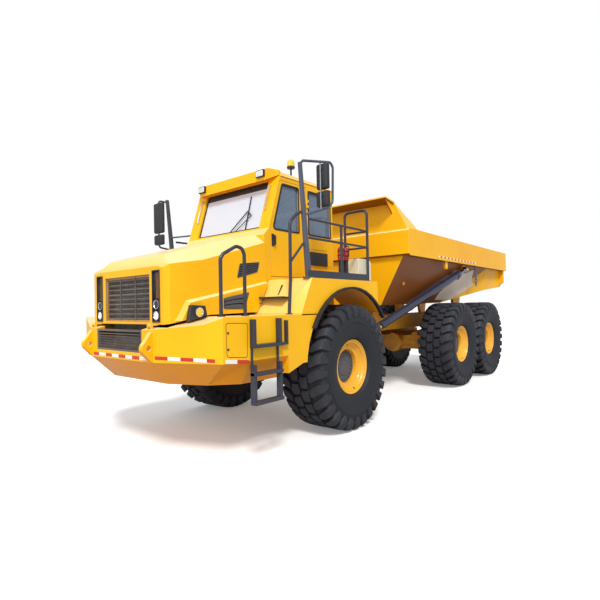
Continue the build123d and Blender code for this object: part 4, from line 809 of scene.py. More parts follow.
def skin(sections):
    """A closed form through sections of the same number of corners."""
    bm = new_bm()
    rows = [[bm.verts.new(at(*p)) for p in s] for s in sections]
    bm.faces.new(rows[0])
    bm.faces.new(rows[-1])
    count = len(sections[0])
    for n in range(len(rows) - 1):
        for i in range(count):
            j = (i + 1) % count
            corners = [(rows[n][i], sections[n][i]), (rows[n][j], sections[n][j]),
                       (rows[n + 1][j], sections[n + 1][j]), (rows[n + 1][i], sections[n + 1][i])]
            distinct = []
            for v, p in corners:
                if all((Vector(p) - Vector(q)).length > 0.01 for _, q in distinct):
                    distinct.append((v, p))
            if len(distinct) == 4:
                a, b, c, d = (Vector(p) for v, p in distinct)
                if abs((b - a).cross(c - a).normalized().dot(d - a)) > 0.05:
                    bm.faces.new([v for v, p in distinct[:3]])
                    bm.faces.new([distinct[k][0] for k in (0, 2, 3)])
                    continue
            if len(distinct) >= 3:
                bm.faces.new([v for v, p in distinct])
    return from_bm(bm)


def mirrored(form):
    """The form on the other side of the middle line."""
    parts = []
    for m in form.parts:
        bm = new_bm()
        bm.from_mesh(m)
        for v in bm.verts:
            v.co.y = -v.co.y
        bmesh.ops.reverse_faces(bm, faces=bm.faces)
        parts += from_bm(bm).parts
    return Form(parts)


def show(name, forms, materials, body, angle=0.3, bevel=0.0):
    """Forms joined in one piece that stands for the node of that name."""
    bm = new_bm()
    for form in forms:
        for m in form.parts:
            bm.from_mesh(m)
    return piece(f"{name}_shaped", bm, materials, body, bevel=bevel, angle=angle, replaces=(name,))


# The front of the truck, from the same named sizes as the solids

FRONT_REACH = 2950.0
SEAT_GAP = 0.3
MOVING_GAP = 8.0
HOOD_PIN_RADIUS = 12.0
HOOD_EYE_RADIUS = 22.0
HOOD_EYE_Y = 650.0
HOOD_EYE_WIDTH = 50.0
DOOR_PIN_X = 204.0
DOOR_PIN_OUT = 18.0
DOOR_PIN_RADIUS = 6.0
DOOR_KNUCKLE_RADIUS = 12.0
DOOR_KNUCKLE_HEIGHT = 40.0
DOOR_HINGE_HEIGHTS = (2520.0, 3460.0)
PIN_CLEARANCE = 0.3
RAIL_INNER_Y = 330.0
RAIL_WIDTH = 120.0
NOSE_WALL = 14.0
NOSE_TOP_FRONT_Z = 1620.0
NOSE_TOP_REAR_Z = 1755.0
NOSE_KNUCKLE_Z = 1245.0
NOSE_LOW_Z = 955.0
NOSE_FRONT_X = FRONT_REACH - 120.0
NOSE_CORNER_Y = 700.0
CHEEK_REAR_X = FRONT_REACH - 460.0
SHELF_REAR_X = FRONT_REACH - 760.0
BODY_HALF_WIDTH = 1600.0
NOSE_REAR_X = 1440.0
BAY_HALF_WIDTH = 900.0
LOWER_GRILLE_HALF = 540.0
TOW_LUG_RADIUS = 86.0
TOW_HOLE_X = FRONT_REACH - TOW_LUG_RADIUS
TOW_HOLE_Y = 711.0
TOW_HOLE_Z = 1408.0
TOW_HOLE_RADIUS = 30.0
TOW_LUG_THICK = 70.0
HOOD_WALL = 12.0
HOOD_FRONT_X = FRONT_REACH - 235.0
HOOD_REAR_X = 1040.0
HOOD_HINGE_X = 2800.0
HOOD_HINGE_Z = 1664.0
HOOD_SIDE_Y = 925.0
HOOD_BELT_OUT = 70.0
GRILLE_HALF = 535.0
GRILLE_LOW_Z = NOSE_TOP_FRONT_Z + 85.0
GRILLE_HIGH_Z = GRILLE_LOW_Z + 570.0
LAMP_INNER_Y = 600.0
LAMP_OUTER_Y = 755.0
LAMP_HIGH_Z = GRILLE_HIGH_Z + 40.0
COWL_X = 1157.0
COWL_LOW_Z = 2150.0
COWL_HIGH_Z = 2880.0
PILLAR_X = 1052.0
PILLAR_Z = 2985.0
PILLAR_TOP_X = 808.0
CAB_HALF_WIDTH = 930.0
CAB_WALL = 60.0
CAB_REAR_X = -500.0
CAB_LOW_Z = 1790.0
CAB_FLOOR_Z = 2290.0
CAB_ROOF_Z = 3780.0
ROOF_THICK = 70.0
GLASS_THICK = 8.0
VISOR_FRONT_X = 936.0
VISOR_HALF = 812.0
DOOR_REAR_X = 200.0
DOOR_FRONT_EDGE = 24.0
DOOR_FRAME = 56.0
DOOR_HIGH_Z = 3720.0
SILL_Z = 2975.0
HEADER_Z = 3670.0
SCREEN_LOW_Z = 3005.0
SCREEN_HIGH_Z = 3735.0
SCREEN_HALF = 725.0
SCREEN_RECESS = 50.0
ARCH_RADIUS = 1070.0
ARCH_CENTRE_Z = 1035.0
DECK_Z = 2240.0
FENDER_REAR_X = -800.0
FENDER_INNER_Y = CAB_HALF_WIDTH + 15.0
ARCH_SIDES = 40
RAIL_Y = BODY_HALF_WIDTH - 70.0
MIRROR_MAST_Z = 3780.0
BED_RAIL_Y = 1550.0


def both_halves(half):
    """A closed (y, z) outline from the left half, which runs from the middle line to the middle line."""
    return half + [(-y, z) for y, z in reversed(half) if y > 0]


def nose_outline(inset, z, low=False):
    """Plan of the nose at one height, seen from above, with an inset for the inner wall."""
    if low:
        points = [
            (FRONT_REACH - 400.0, NOSE_CORNER_Y - 80),
            (FRONT_REACH - 600.0, BODY_HALF_WIDTH - 470),
            (FRONT_REACH - 890.0, BODY_HALF_WIDTH - 210),
            (NOSE_REAR_X, BODY_HALF_WIDTH - 200),
        ]
    else:
        points = [
            (NOSE_FRONT_X, NOSE_CORNER_Y),
            (CHEEK_REAR_X, BODY_HALF_WIDTH - 15),
            (FRONT_REACH - 870.0, BODY_HALF_WIDTH),
            (NOSE_REAR_X, BODY_HALF_WIDTH),
        ]
    left = [(x - inset, y - inset) for x, y in points]
    right = [(x, -y) for x, y in reversed(left)]
    return [(x, y, z) for x, y in left + right]


def nose_block():
    """The nose as a filled shape, before it is hollowed out."""
    return skin(
        [
            nose_outline(0, NOSE_LOW_Z, low=True),
            nose_outline(0, NOSE_KNUCKLE_Z),
            nose_outline(0, NOSE_TOP_REAR_Z),
        ]
    )


def make_nose():
    """Swept bumper and side boxes in one welded shell, open at the rear and over the engine bay."""
    outer = nose_block()
    # The top falls to the front, from further back beside the hood than at the outer corners
    above = []
    for y, rear_x in (
        (-BODY_HALF_WIDTH - 50, CHEEK_REAR_X),
        (-HOOD_SIDE_Y, SHELF_REAR_X),
        (HOOD_SIDE_Y, SHELF_REAR_X),
        (BODY_HALF_WIDTH + 50, CHEEK_REAR_X),
    ):
        top = NOSE_TOP_REAR_Z + 100
        profile = [(FRONT_REACH, NOSE_TOP_FRONT_Z - 5), (FRONT_REACH, top), (rear_x, top), (rear_x, NOSE_TOP_REAR_Z)]
        above.append([(x, y, z) for x, z in profile + [(NOSE_FRONT_X, NOSE_TOP_FRONT_Z)]])
    above = skin(above)
    bottom = nose_outline(NOSE_WALL, NOSE_LOW_Z + NOSE_WALL, low=True)
    inner = skin(
        [
            [(x if x > NOSE_REAR_X else x - 40, y, z) for x, y, z in bottom],
            nose_outline(NOSE_WALL, NOSE_KNUCKLE_Z + NOSE_WALL),
            nose_outline(NOSE_WALL, NOSE_TOP_FRONT_Z - 2 * NOSE_WALL),
        ]
    )
    bay = block(NOSE_REAR_X - 60, NOSE_FRONT_X - 110, -BAY_HALF_WIDTH, BAY_HALF_WIDTH, 1500.0, 2000.0)
    rear_open = block(NOSE_REAR_X - 60, NOSE_REAR_X + 60, -BAY_HALF_WIDTH, BAY_HALF_WIDTH, 1000.0, 2000.0)
    half = LOWER_GRILLE_HALF
    grille_hole = block(NOSE_FRONT_X - 300, FRONT_REACH, -half, half, 1345.0, 1700.0)
    shell = outer.cut(above).cut(inner).cut(bay).cut(rear_open).cut(grille_hole)
    # Ears and pins that the hood turns on, behind the bumper's top edge
    ears = []
    for sign in (1, -1):
        low_y, high_y = HOOD_EYE_Y - 5, HOOD_EYE_Y + HOOD_EYE_WIDTH + 5
        for ear_y in (low_y - 12, high_y):
            y0, y1 = sorted((sign * ear_y, sign * (ear_y + 12)))
            wall_x = NOSE_FRONT_X - NOSE_WALL + 2
            ears.append(block(HOOD_HINGE_X - 15, wall_x, y0, y1, HOOD_HINGE_Z - 90, HOOD_HINGE_Z + 15))
        pin = [(HOOD_HINGE_X, sign * y, HOOD_HINGE_Z) for y in (low_y - 6, high_y + 6)]
        ears.append(rod(pin[0], pin[1], HOOD_PIN_RADIUS))
    return shell.fuse(*ears).clean()


def slats(x0, x1, half_width, z0, z1, count, thick):
    """A framed panel of level slats."""
    frame = block(x0, x1, -half_width, half_width, z0, z1)
    frame = frame - block(x0 - 5, x1 + 5, -half_width + 30, half_width - 30, z0 + 25, z1 - 25)
    pitch = (z1 - z0 - 50) / (count + 1)
    bars = []
    for n in range(count):
        z = z0 + 25 + (n + 1) * pitch
        bars.append(block(x0, x1 - 8, -half_width + 29, half_width - 29, z - thick / 2, z + thick / 2))
    return frame.fuse(*bars)


HOOD_STATIONS = [
    (HOOD_FRONT_X, GRILLE_LOW_Z - 30, HOOD_SIDE_Y - 103, LAMP_HIGH_Z + 20, 690.0, LAMP_HIGH_Z + 47),
    (HOOD_FRONT_X - 30, GRILLE_LOW_Z - 21, HOOD_SIDE_Y - 25, LAMP_HIGH_Z + 59, 690.0, LAMP_HIGH_Z + 95),
    (HOOD_FRONT_X - 140, GRILLE_LOW_Z - 3, HOOD_SIDE_Y + 5, LAMP_HIGH_Z + 78, 640.0, LAMP_HIGH_Z + 200),
    (HOOD_FRONT_X - 488, GRILLE_LOW_Z + 67, HOOD_SIDE_Y + 12, LAMP_HIGH_Z + 132, 680.0, LAMP_HIGH_Z + 300),
    (HOOD_REAR_X, GRILLE_LOW_Z + 90, HOOD_SIDE_Y + 30, LAMP_HIGH_Z + 480, 760.0, LAMP_HIGH_Z + 612),
]


def hood_sections(inset, drop=0.0):
    """The hood's cross sections from front to rear, or those of its hollow."""
    stations = list(HOOD_STATIONS)
    if inset:
        # The inner shape runs on past the rear edge, in line with the outer one
        before, last = stations[-2], stations[-1]
        share = 200.0 / (before[0] - last[0])
        stations[-1] = tuple(b + (b - a) * share for a, b in zip(before, last))
    sections = []
    for n, (x, low, side, shoulder, top_half, top) in enumerate(stations):
        half = [
            (side - inset, low - drop),
            (side - inset, shoulder - inset * 0.6),
            (top_half - inset * 0.6, top - inset),
        ]
        x_at = x - inset if n < 3 else x
        sections.append([(x_at, y, z) for y, z in both_halves(half)])
    return sections


def cab_front_outline(gap):
    """The slanted line where the hood ends and the cab begins, moved forward by a gap."""
    return [
        (1385.0 + gap, CAB_LOW_Z - 200),
        (1365.0 + gap, CAB_LOW_Z),
        (COWL_X + gap, COWL_LOW_Z),
        (COWL_X + gap, 3200.0),
    ]


def make_hood():
    """Tilting hood: one sheet shell with a belt along each side, open below and behind."""
    shell = skin(hood_sections(0)).cut(skin(hood_sections(HOOD_WALL, drop=60)))
    belts = []
    for sign in (1, -1):
        inner, out = sign * (HOOD_SIDE_Y - 20), sign * (HOOD_SIDE_Y + HOOD_BELT_OUT)
        front, low = HOOD_FRONT_X - 75, GRILLE_LOW_Z + 7
        belt = [
            [(front, inner, low), (front - 140, inner, 1960.0), (HOOD_REAR_X, inner, 2260.0),
             (HOOD_REAR_X, inner, 1797.0), (SHELF_REAR_X, inner, 1775.0)],
            [(front - 50, out, low + 4), (front - 175, out, 1925.0), (HOOD_REAR_X, out, 2215.0),
             (HOOD_REAR_X, out, 1797.0), (SHELF_REAR_X, out, 1775.0)],
        ]
        belts.append(skin(belt))
    whole = shell.fuse(*belts)
    rear_cut = prism_xz(cab_front_outline(MOVING_GAP) + [(900.0, 3200.0), (900.0, 1500.0)], -1200, 1200)
    front0, front1 = HOOD_FRONT_X - 60, HOOD_FRONT_X + 40
    front_hole = block(front0, front1, -GRILLE_HALF, GRILLE_HALF, GRILLE_LOW_Z, GRILLE_HIGH_Z)
    whole = whole.cut(rear_cut).cut(front_hole)
    for sign in (1, -1):
        y0, y1 = sorted((sign * LAMP_INNER_Y, sign * LAMP_OUTER_Y))
        whole = whole.cut(block(front0, front1, y0, y1, GRILLE_LOW_Z - 5, LAMP_HIGH_Z))
    for sign in (1, -1):
        y0, y1 = sorted((sign * HOOD_EYE_Y, sign * (HOOD_EYE_Y + HOOD_EYE_WIDTH)))
        strap = block(HOOD_FRONT_X - 14, HOOD_HINGE_X - 8, y0, y1, HOOD_HINGE_Z, HOOD_HINGE_Z + 16)
        eye = post((HOOD_HINGE_X, y0, HOOD_HINGE_Z), (HOOD_HINGE_X, y1, HOOD_HINGE_Z), HOOD_EYE_RADIUS, 8)
        hole_ends = [(HOOD_HINGE_X, y, HOOD_HINGE_Z) for y in (y0 - 5, y1 + 5)]
        hole = rod(hole_ends[0], hole_ends[1], HOOD_PIN_RADIUS + PIN_CLEARANCE)
        whole = whole.fuse(strap, eye).cut(hole)
    return whole.clean()


def make_main_grille():
    """Grille set back in the hood's front: a frame with level slats."""
    x0, x1 = HOOD_FRONT_X - 60, HOOD_FRONT_X - HOOD_WALL - SEAT_GAP
    half, low, high = GRILLE_HALF + 40, GRILLE_LOW_Z - 15, GRILLE_HIGH_Z + 25
    hole = block(x0 - 5, x1 + 5, -half + 45, half - 45, low + 20, high - 35)
    frame = block(x0, x1, -half, half, low, high) - hole
    bars = []
    rise = (high - low - 55) / 9
    for n in range(9):
        z = low + 20 + (n + 0.5) * rise
        bars.append(block(x0 + 12, x0 + 24, -half + 44, half - 44, z - 9, z + 9))
    return frame.fuse(*bars)


def make_head_lamps():
    """A tall lamp housing on each side of the grille, with two round lamps."""
    lamps = []
    for sign in (1, -1):
        y0, y1 = sorted((sign * (LAMP_INNER_Y + SEAT_GAP), sign * (LAMP_OUTER_Y - SEAT_GAP)))
        x0, x1 = HOOD_FRONT_X - 58, HOOD_FRONT_X + 12
        low, high = GRILLE_LOW_Z - 5 + SEAT_GAP, LAMP_HIGH_Z - SEAT_GAP
        case = block(x0, x1, y0, y1, low, high)
        case = case.cut(block(x0 + 18, x1 + 20, y0 + 12, y1 - 12, low + 15, high - 15))
        y = sign * (LAMP_INNER_Y + LAMP_OUTER_Y) / 2
        for z in (low + 80, low + 210):
            case = case.fuse(post((x0 + 10, y, z), (x1 - 10, y, z), 56.0))
        lamps.append(case)
    return lamps


def make_hood_vents():
    """Round side lamps in brackets on the hood's belt."""
    pieces = []
    x = HOOD_FRONT_X - 315
    for sign in (1, -1):
        y0 = sign * (HOOD_SIDE_Y + HOOD_BELT_OUT)
        bracket = prism_xz(
            [(x + 138, 1703.0), (x + 97, 1897.0), (x - 104, 1887.0), (x - 130, 1773.0)],
            y0 + sign * SEAT_GAP,
            y0 + sign * 60.0,
        )
        lamp = post((x, y0 + sign * 60, 1812.0), (x, y0 + sign * 78, 1812.0), 58.0)
        pieces.append(bracket.fuse(lamp))
    return pieces


def cab_profile(inset=0.0):
    return [
        (CAB_REAR_X + inset, CAB_LOW_Z + inset),
        (1365.0 - inset, CAB_LOW_Z + inset),
        (COWL_X - inset, COWL_LOW_Z),
        (COWL_X - inset, COWL_HIGH_Z),
        (PILLAR_X - inset, PILLAR_Z),
        (PILLAR_TOP_X - inset, CAB_ROOF_Z - inset),
        (CAB_REAR_X + inset, CAB_ROOF_Z - inset),
    ]


def front_x(z):
    """The front of the door's side of the cab at a height: upright, then along the leaning pillar."""
    if z <= PILLAR_Z:
        return PILLAR_X
    return PILLAR_X + (PILLAR_TOP_X - PILLAR_X) * (z - PILLAR_Z) / (CAB_ROOF_Z - PILLAR_Z)


def door_outline(gap):
    """The door in side view; a gap makes it smaller than its opening."""
    low = CAB_FLOOR_Z + gap
    high = DOOR_HIGH_Z - gap
    edge = DOOR_FRONT_EDGE + gap
    return [
        (DOOR_REAR_X + gap, low),
        (front_x(low) - edge, low),
        (front_x(PILLAR_Z) - edge, PILLAR_Z),
        (front_x(high) - edge, high),
        (DOOR_REAR_X + gap, high),
    ]


def door_window(inset):
    """Outline of the opening in the door."""
    edge = DOOR_FRONT_EDGE + DOOR_FRAME + inset
    low, high = SILL_Z + inset, HEADER_Z - inset
    return [
        (DOOR_REAR_X + 180.0 + inset, low),
        (front_x(PILLAR_Z) - edge - 35, low),
        (front_x(low + 50) - edge, low + 50),
        (front_x(high) - edge, high),
        (DOOR_REAR_X + 180.0 + inset, high),
    ]


def quarter_window(inset):
    """Outline of the opening behind the door."""
    return [
        (CAB_REAR_X + 60 + inset, SILL_Z + inset),
        (DOOR_REAR_X - 48 - inset, SILL_Z + inset),
        (DOOR_REAR_X - 48 - inset, HEADER_Z - inset),
        (CAB_REAR_X + 60 + inset, HEADER_Z - inset),
    ]


def make_cab_shell():
    """Cab with its floor, walls as thick as the door, and all windows cut."""
    shell = prism_xz(cab_profile(), -CAB_HALF_WIDTH, CAB_HALF_WIDTH)
    room = prism_xz(
        [
            (CAB_REAR_X + CAB_WALL, CAB_FLOOR_Z + 20),
            (COWL_X - CAB_WALL, CAB_FLOOR_Z + 20),
            (COWL_X - CAB_WALL, COWL_HIGH_Z - 30),
            (PILLAR_X - CAB_WALL, PILLAR_Z - 20),
            (front_x(CAB_ROOF_Z - ROOF_THICK) - CAB_WALL, CAB_ROOF_Z - ROOF_THICK),
            (CAB_REAR_X + CAB_WALL, CAB_ROOF_Z - ROOF_THICK),
        ],
        -CAB_HALF_WIDTH + CAB_WALL,
        CAB_HALF_WIDTH - CAB_WALL,
    )
    under = prism_xz(
        [
            (CAB_REAR_X + CAB_WALL, CAB_LOW_Z - 10),
            (1365.0 - CAB_WALL - 20, CAB_LOW_Z - 10),
            (COWL_X - CAB_WALL, COWL_LOW_Z),
            (COWL_X - CAB_WALL, CAB_FLOOR_Z - 40),
            (CAB_REAR_X + CAB_WALL, CAB_FLOOR_Z - 40),
        ],
        -CAB_HALF_WIDTH + CAB_WALL,
        CAB_HALF_WIDTH - CAB_WALL,
    )
    rails = []
    for sign in (1, -1):
        y0, y1 = sorted((sign * (RAIL_INNER_Y), sign * (RAIL_INNER_Y + RAIL_WIDTH)))
        for post_x in (850.0, -350.0):
            rails.append(block(post_x - 90, post_x + 90, y0, y1, CAB_LOW_Z, CAB_FLOOR_Z - 39))
    shell = shell.cut(room).cut(under).fuse(*rails)
    left = CAB_HALF_WIDTH - CAB_WALL - 10
    right = CAB_HALF_WIDTH + 10
    shell = shell.cut(prism_xz(door_outline(0), left, right))
    shell = shell.cut(prism_xz(door_window(0), -right, -left))
    for sign in (1, -1):
        shell = shell.cut(prism_xz(quarter_window(0), sign * left, sign * right))
    shell = shell.cut(windscreen_solid(0, 200.0))
    shell = shell.cut(block(CAB_REAR_X - 10, CAB_REAR_X + CAB_WALL + 10, -600.0, 600.0, 2950.0, 3600.0))
    pin_y = CAB_HALF_WIDTH + DOOR_PIN_OUT
    hinges = []
    for z in DOOR_HINGE_HEIGHTS:
        half = DOOR_KNUCKLE_HEIGHT / 2 + 1
        hinges.append(rod((DOOR_PIN_X, pin_y, z - half - 2), (DOOR_PIN_X, pin_y, z + half + 2), DOOR_PIN_RADIUS))
        for low, high in ((z - 3 * half, z - half), (z + half, z + 3 * half)):
            hinges.append(post((DOOR_PIN_X, pin_y, low), (DOOR_PIN_X, pin_y, high), DOOR_KNUCKLE_RADIUS, 8))
            hinges.append(block(DOOR_PIN_X - 45, DOOR_PIN_X - 5, CAB_HALF_WIDTH - 1, pin_y + 4, low, high))
    return shell.fuse(*hinges).clean()


def windscreen_solid(inset, depth):
    """The windscreen's outline carried back from the slanted front."""
    low, high = SCREEN_LOW_Z + inset, SCREEN_HIGH_Z - inset
    half = SCREEN_HALF - inset
    start = 60.0 if depth > 100 else -SCREEN_RECESS
    return prism_xz(
        [
            (front_x(low) + start, low),
            (front_x(high) + start, high),
            (front_x(high) + start - depth, high),
            (front_x(low) + start - depth, low),
        ],
        -half,
        half,
    )


def make_cab_glass():
    """The fixed panes, the windscreen first."""
    panes = [windscreen_solid(SEAT_GAP, GLASS_THICK)]
    y = CAB_HALF_WIDTH - CAB_WALL / 2
    for sign in (1, -1):
        panes.append(prism_xz(quarter_window(SEAT_GAP), sign * y, sign * (y + GLASS_THICK)))
    panes.append(prism_xz(door_window(SEAT_GAP), -y - GLASS_THICK, -y))
    gap = SEAT_GAP
    x = CAB_REAR_X + CAB_WALL / 2
    panes.append(block(x, x + GLASS_THICK, -600 + gap, 600 - gap, 2950 + gap, 3600 - gap))
    return panes


def make_cab_roof():
    """Roof cap with a visor that overhangs the windscreen and holds the work lamps."""
    low = CAB_ROOF_Z + SEAT_GAP
    cap = skin(
        [
            [(CAB_REAR_X - 15, -CAB_HALF_WIDTH - 12, low), (790.0, -CAB_HALF_WIDTH - 12, low),
             (790.0, CAB_HALF_WIDTH + 12, low), (CAB_REAR_X - 15, CAB_HALF_WIDTH + 12, low)],
            [(CAB_REAR_X + 40, -CAB_HALF_WIDTH + 60, low + 70), (760.0, -CAB_HALF_WIDTH + 30, low + 70),
             (760.0, CAB_HALF_WIDTH - 30, low + 70), (CAB_REAR_X + 40, CAB_HALF_WIDTH - 60, low + 70)],
        ]
    )
    wide, narrow = CAB_HALF_WIDTH, VISOR_HALF
    visor = skin(
        [
            [(740.0, y, z) for y, z in ((1 - wide + 30, low + 10), (wide - 31, low + 10), (wide - 31, low + 66),
                                        (1 - wide + 30, low + 66))],
            [(812.0, y, z) for y, z in ((-wide + 6, low + 8), (wide - 6, low + 8), (wide - 6, low + 84),
                                        (-wide + 6, low + 84))],
            [(VISOR_FRONT_X, y, z) for y, z in ((60 - narrow, low - 56), (narrow - 60, low - 56),
                                                (narrow, low + 108), (-narrow, low + 108))],
        ]
    )
    return cap.fuse(visor).clean()


def make_work_lamps():
    """The two lamps on the visor."""
    lamps = []
    for sign in (1, -1):
        y = sign * (VISOR_HALF - 132.0)
        low = CAB_ROOF_Z - 8
        front = VISOR_FRONT_X + SEAT_GAP
        lamps.append(block(front, front + 36, y - 80, y + 80, low, low + 106))
    return lamps


def make_door():
    """Door panel hinged at its rear edge, with its window cut."""
    y0, y1 = CAB_HALF_WIDTH - CAB_WALL, CAB_HALF_WIDTH
    door = prism_xz(door_outline(MOVING_GAP), y0, y1).cut(prism_xz(door_window(0), y0 - 10, y1 + 10))
    pin_y = y1 + DOOR_PIN_OUT
    for z in DOOR_HINGE_HEIGHTS:
        low, high = z - DOOR_KNUCKLE_HEIGHT / 2, z + DOOR_KNUCKLE_HEIGHT / 2
        knuckle = post((DOOR_PIN_X, pin_y, low), (DOOR_PIN_X, pin_y, high), DOOR_KNUCKLE_RADIUS, 8)
        leaf = block(DOOR_PIN_X + 5, DOOR_PIN_X + 60, y1 - 1, pin_y + 4, low, high)
        hole = rod((DOOR_PIN_X, pin_y, low - 5), (DOOR_PIN_X, pin_y, high + 5), DOOR_PIN_RADIUS + PIN_CLEARANCE)
        door = door.fuse(knuckle, leaf).cut(hole)
    return door.clean()


def fender_outline(z):
    """Plan of a fender block's front edge at one height, from the cab side out."""
    wide = BODY_HALF_WIDTH
    low_part = [(1375.0, FENDER_INNER_Y), (1330.0, wide - 180), (1160.0, wide)]
    high_part = [(1080.0, FENDER_INNER_Y), (1020.0, wide - 370), (930.0, wide)]
    share = (z - 1770.0) / (DECK_Z - 1770.0)
    front = [(x0 + (x1 - x0) * share, y0 + (y1 - y0) * share) for (x0, y0), (x1, y1) in zip(low_part, high_part)]
    rear = [(FENDER_REAR_X, BODY_HALF_WIDTH), (FENDER_REAR_X, FENDER_INNER_Y)]
    return [(x, y, z) for x, y in front + rear]


def make_fender(sign):
    """Wheel arch block with the walking deck on top and the step box in front of the wheel."""
    upper = skin([fender_outline(1770.0), fender_outline(DECK_Z)])
    lower = prism_xz(
        [
            (NOSE_REAR_X - SEAT_GAP, 1000.0),
            (NOSE_REAR_X - SEAT_GAP, NOSE_TOP_REAR_Z),
            (FENDER_REAR_X, NOSE_TOP_REAR_Z),
            (FENDER_REAR_X, 1640.0),
            (-750.0, 1640.0),
            (-700.0, 1000.0),
        ],
        FENDER_INNER_Y,
        BODY_HALF_WIDTH,
    )
    bridge = prism_xy([(x, y) for x, y, z in fender_outline(1770.0)], 1740.0, 1771.0)
    arch = post((0, 500.0, ARCH_CENTRE_Z), (0, 1800.0, ARCH_CENTRE_Z), ARCH_RADIUS, ARCH_SIDES)
    under = block(-1200.0, 1030.0, 500.0, 1800.0, 700.0, ARCH_CENTRE_Z)
    slope = prism_xz([(1500.0, 950.0), (1500.0, 1000.0), (1150.0, 1120.0), (1000.0, 1120.0), (1000.0, 950.0)], 500.0,
                     1800.0)
    shape = upper.fuse(lower, bridge).cut(arch).cut(under).cut(slope)
    shape = shape.clean()
    return shape if sign > 0 else mirrored(shape)


def make_ladder(sign):
    """Folding-free boarding ladder: two treads in the side box and a hanging step below."""
    y0 = BODY_HALF_WIDTH + SEAT_GAP
    y1 = BODY_HALF_WIDTH + 90.0
    x0, x1 = 1650.0, 2085.0
    pieces = []
    for top, low in ((1720.0, 1430.0), (1200.0, 780.0)):
        for x in (x0, x1):
            pieces.append(block(x - 22, x + 22, y0, y1 - 20, low, top))
        pieces.append(block(x0 - 22, x1 + 22, y0, y1, low - 40, low + 1))
    pieces.append(block(x0 - 22, x1 + 22, y0, y1, 1070.0, 1110.0))
    # Grab bar beside the upper tread
    pieces.append(block(1490.0, 1520.0, y0, y1 - 40, 1400.0, 1690.0))
    pieces.append(block(1490.0, x0, y0, y1 - 40, 1390.0, 1420.0))
    for x in (x0, x1):
        pieces.append(block(x - 15, x + 15, y0, y0 + 20, 1190.0, 1400.0))
    shape = pieces[0].fuse(*pieces[1:]).clean()
    return shape if sign > 0 else mirrored(shape)


def make_tank(sign):
    """Box tank behind the fender deck."""
    shape = prism_xz(
        [(FENDER_REAR_X, DECK_Z + SEAT_GAP), (FENDER_REAR_X, DECK_Z + 330), (-690.0, DECK_Z + 365),
         (-430.0, DECK_Z + 365), (-410.0, DECK_Z + SEAT_GAP)],
        BODY_HALF_WIDTH - 440,
        BODY_HALF_WIDTH - 120,
    )
    return shape if sign > 0 else mirrored(shape)


def side(points, sign):
    return [(x, sign * y, z) for x, y, z in points]


def foot(bm, x, y, z, radius=46):
    """A round foot plate with four bolts."""
    disc(bm, (x, y, z), (0, 0, 1), radius, 9, 20, 0, 2)
    for n in range(4):
        a = math.pi / 4 + n * math.pi / 2
        disc(bm, (x + 0.72 * radius * math.cos(a), y + 0.72 * radius * math.sin(a), z + 9), (0, 0, 1), 6, 6, 6, 0, 1)


def make_rails():
    """Hand rails, hoops and entry rails on both sides."""
    shelf, deck = NOSE_TOP_REAR_Z + SEAT_GAP, DECK_Z + SEAT_GAP
    bm = new_bm()
    for sign in (1, -1):
        hoop = side([(2300, 1340, shelf), (2300, 1340, 2420), (2264, 1345, 2480), (2090, 1380, 2580),
                     (2010, 1392, 2560),
                     (1980, 1398, 2490), (1980, 1398, shelf)], sign)
        pipe(bm, bent(hoop, 55, 5), 22, 14)
        for p in (hoop[0], hoop[-1]):
            foot(bm, p[0], p[1], shelf)
        entry = [(1295, 1500, shelf), (1295, 1500, 1800), (1262, 1500, 2200), (1255, 1500, 2960), (1135, 1500, 3075),
                 (1052, 1520, 3120)]
        if sign < 0:
            entry = entry[:3] + [(1255, 1500, 2560), (1170, 1510, 2650), (1020, 1530, 2680)]
        entry = side(entry, sign)
        pipe(bm, bent(entry, 90, 6), 22, 14)
        foot(bm, entry[0][0], entry[0][1], shelf)
        if sign > 0:
            pipe(bm, [(1255, 1500, 2440), (1014, 1520, 2700)], 17, 12)
        for z in (2790, 3050):
            pipe(bm, side([(890, 1530, z), (-620, 1530, z)], sign), 17, 12)
            pipe(bm, side([(-620, 1530, z), (-620, 1100, z)], sign), 17, 12)
        pipe(bm, side([(120, 1530, deck), (120, 1530, 3055)], sign), 20, 14)
        pipe(bm, bent(side([(-620, 1530, deck), (-620, 1530, 3400), (-620, 1100, 3400), (-620, 1100, deck)], sign),
                      90, 6), 22, 14)
        for x, y in ((120, 1530), (-620, 1530), (-620, 1100)):
            foot(bm, x, sign * y, deck)
    piece("handrail_tubes", bm, MAT["navy"], "front", angle=0.5, replaces=("handrails",))


def rounded_box(bm, x0, x1, y0, y1, z0, z1, index=0, corner=26, back=0.8):
    """A moulded case: rounded corners as seen along X, and a back drawn in."""
    def outline(x, grow):
        ys, zs = (y0 - grow, y1 + grow), (z0 - grow, z1 + grow)
        return [(x, y, z) for y, z in ((ys[0], zs[0]), (ys[1], zs[0]), (ys[1], zs[1]), (ys[0], zs[1]))]
    rows = []
    for x, grow in ((x0, -3), (x0 + 4, 0), (x0 + (x1 - x0) * 0.55, 0), (x1 - 8, -10), (x1, -26)):
        rows.append([bm.verts.new(at(*p)) for p in rounded(outline(x, grow), corner, 4)])
    for low, high in zip(rows, rows[1:]):
        n = len(low)
        for i in range(n):
            bm.faces.new([low[i], low[(i + 1) % n], high[(i + 1) % n], high[i]]).material_index = index
    bm.faces.new(rows[0]).material_index = index
    bm.faces.new(rows[-1]).material_index = index


def rounded(points, radius, steps=4):
    """A closed outline with its corners rounded."""
    pts = [Vector(p) for p in points]
    out = []
    for i, b in enumerate(pts):
        a, c = pts[i - 1], pts[(i + 1) % len(pts)]
        p0 = b + (a - b).normalized() * min(radius, (a - b).length * 0.45)
        p1 = b + (c - b).normalized() * min(radius, (c - b).length * 0.45)
        for k in range(steps + 1):
            t = k / steps
            out.append(tuple(p0.lerp(b, t).lerp(b.lerp(p1, t), t)))
    return out


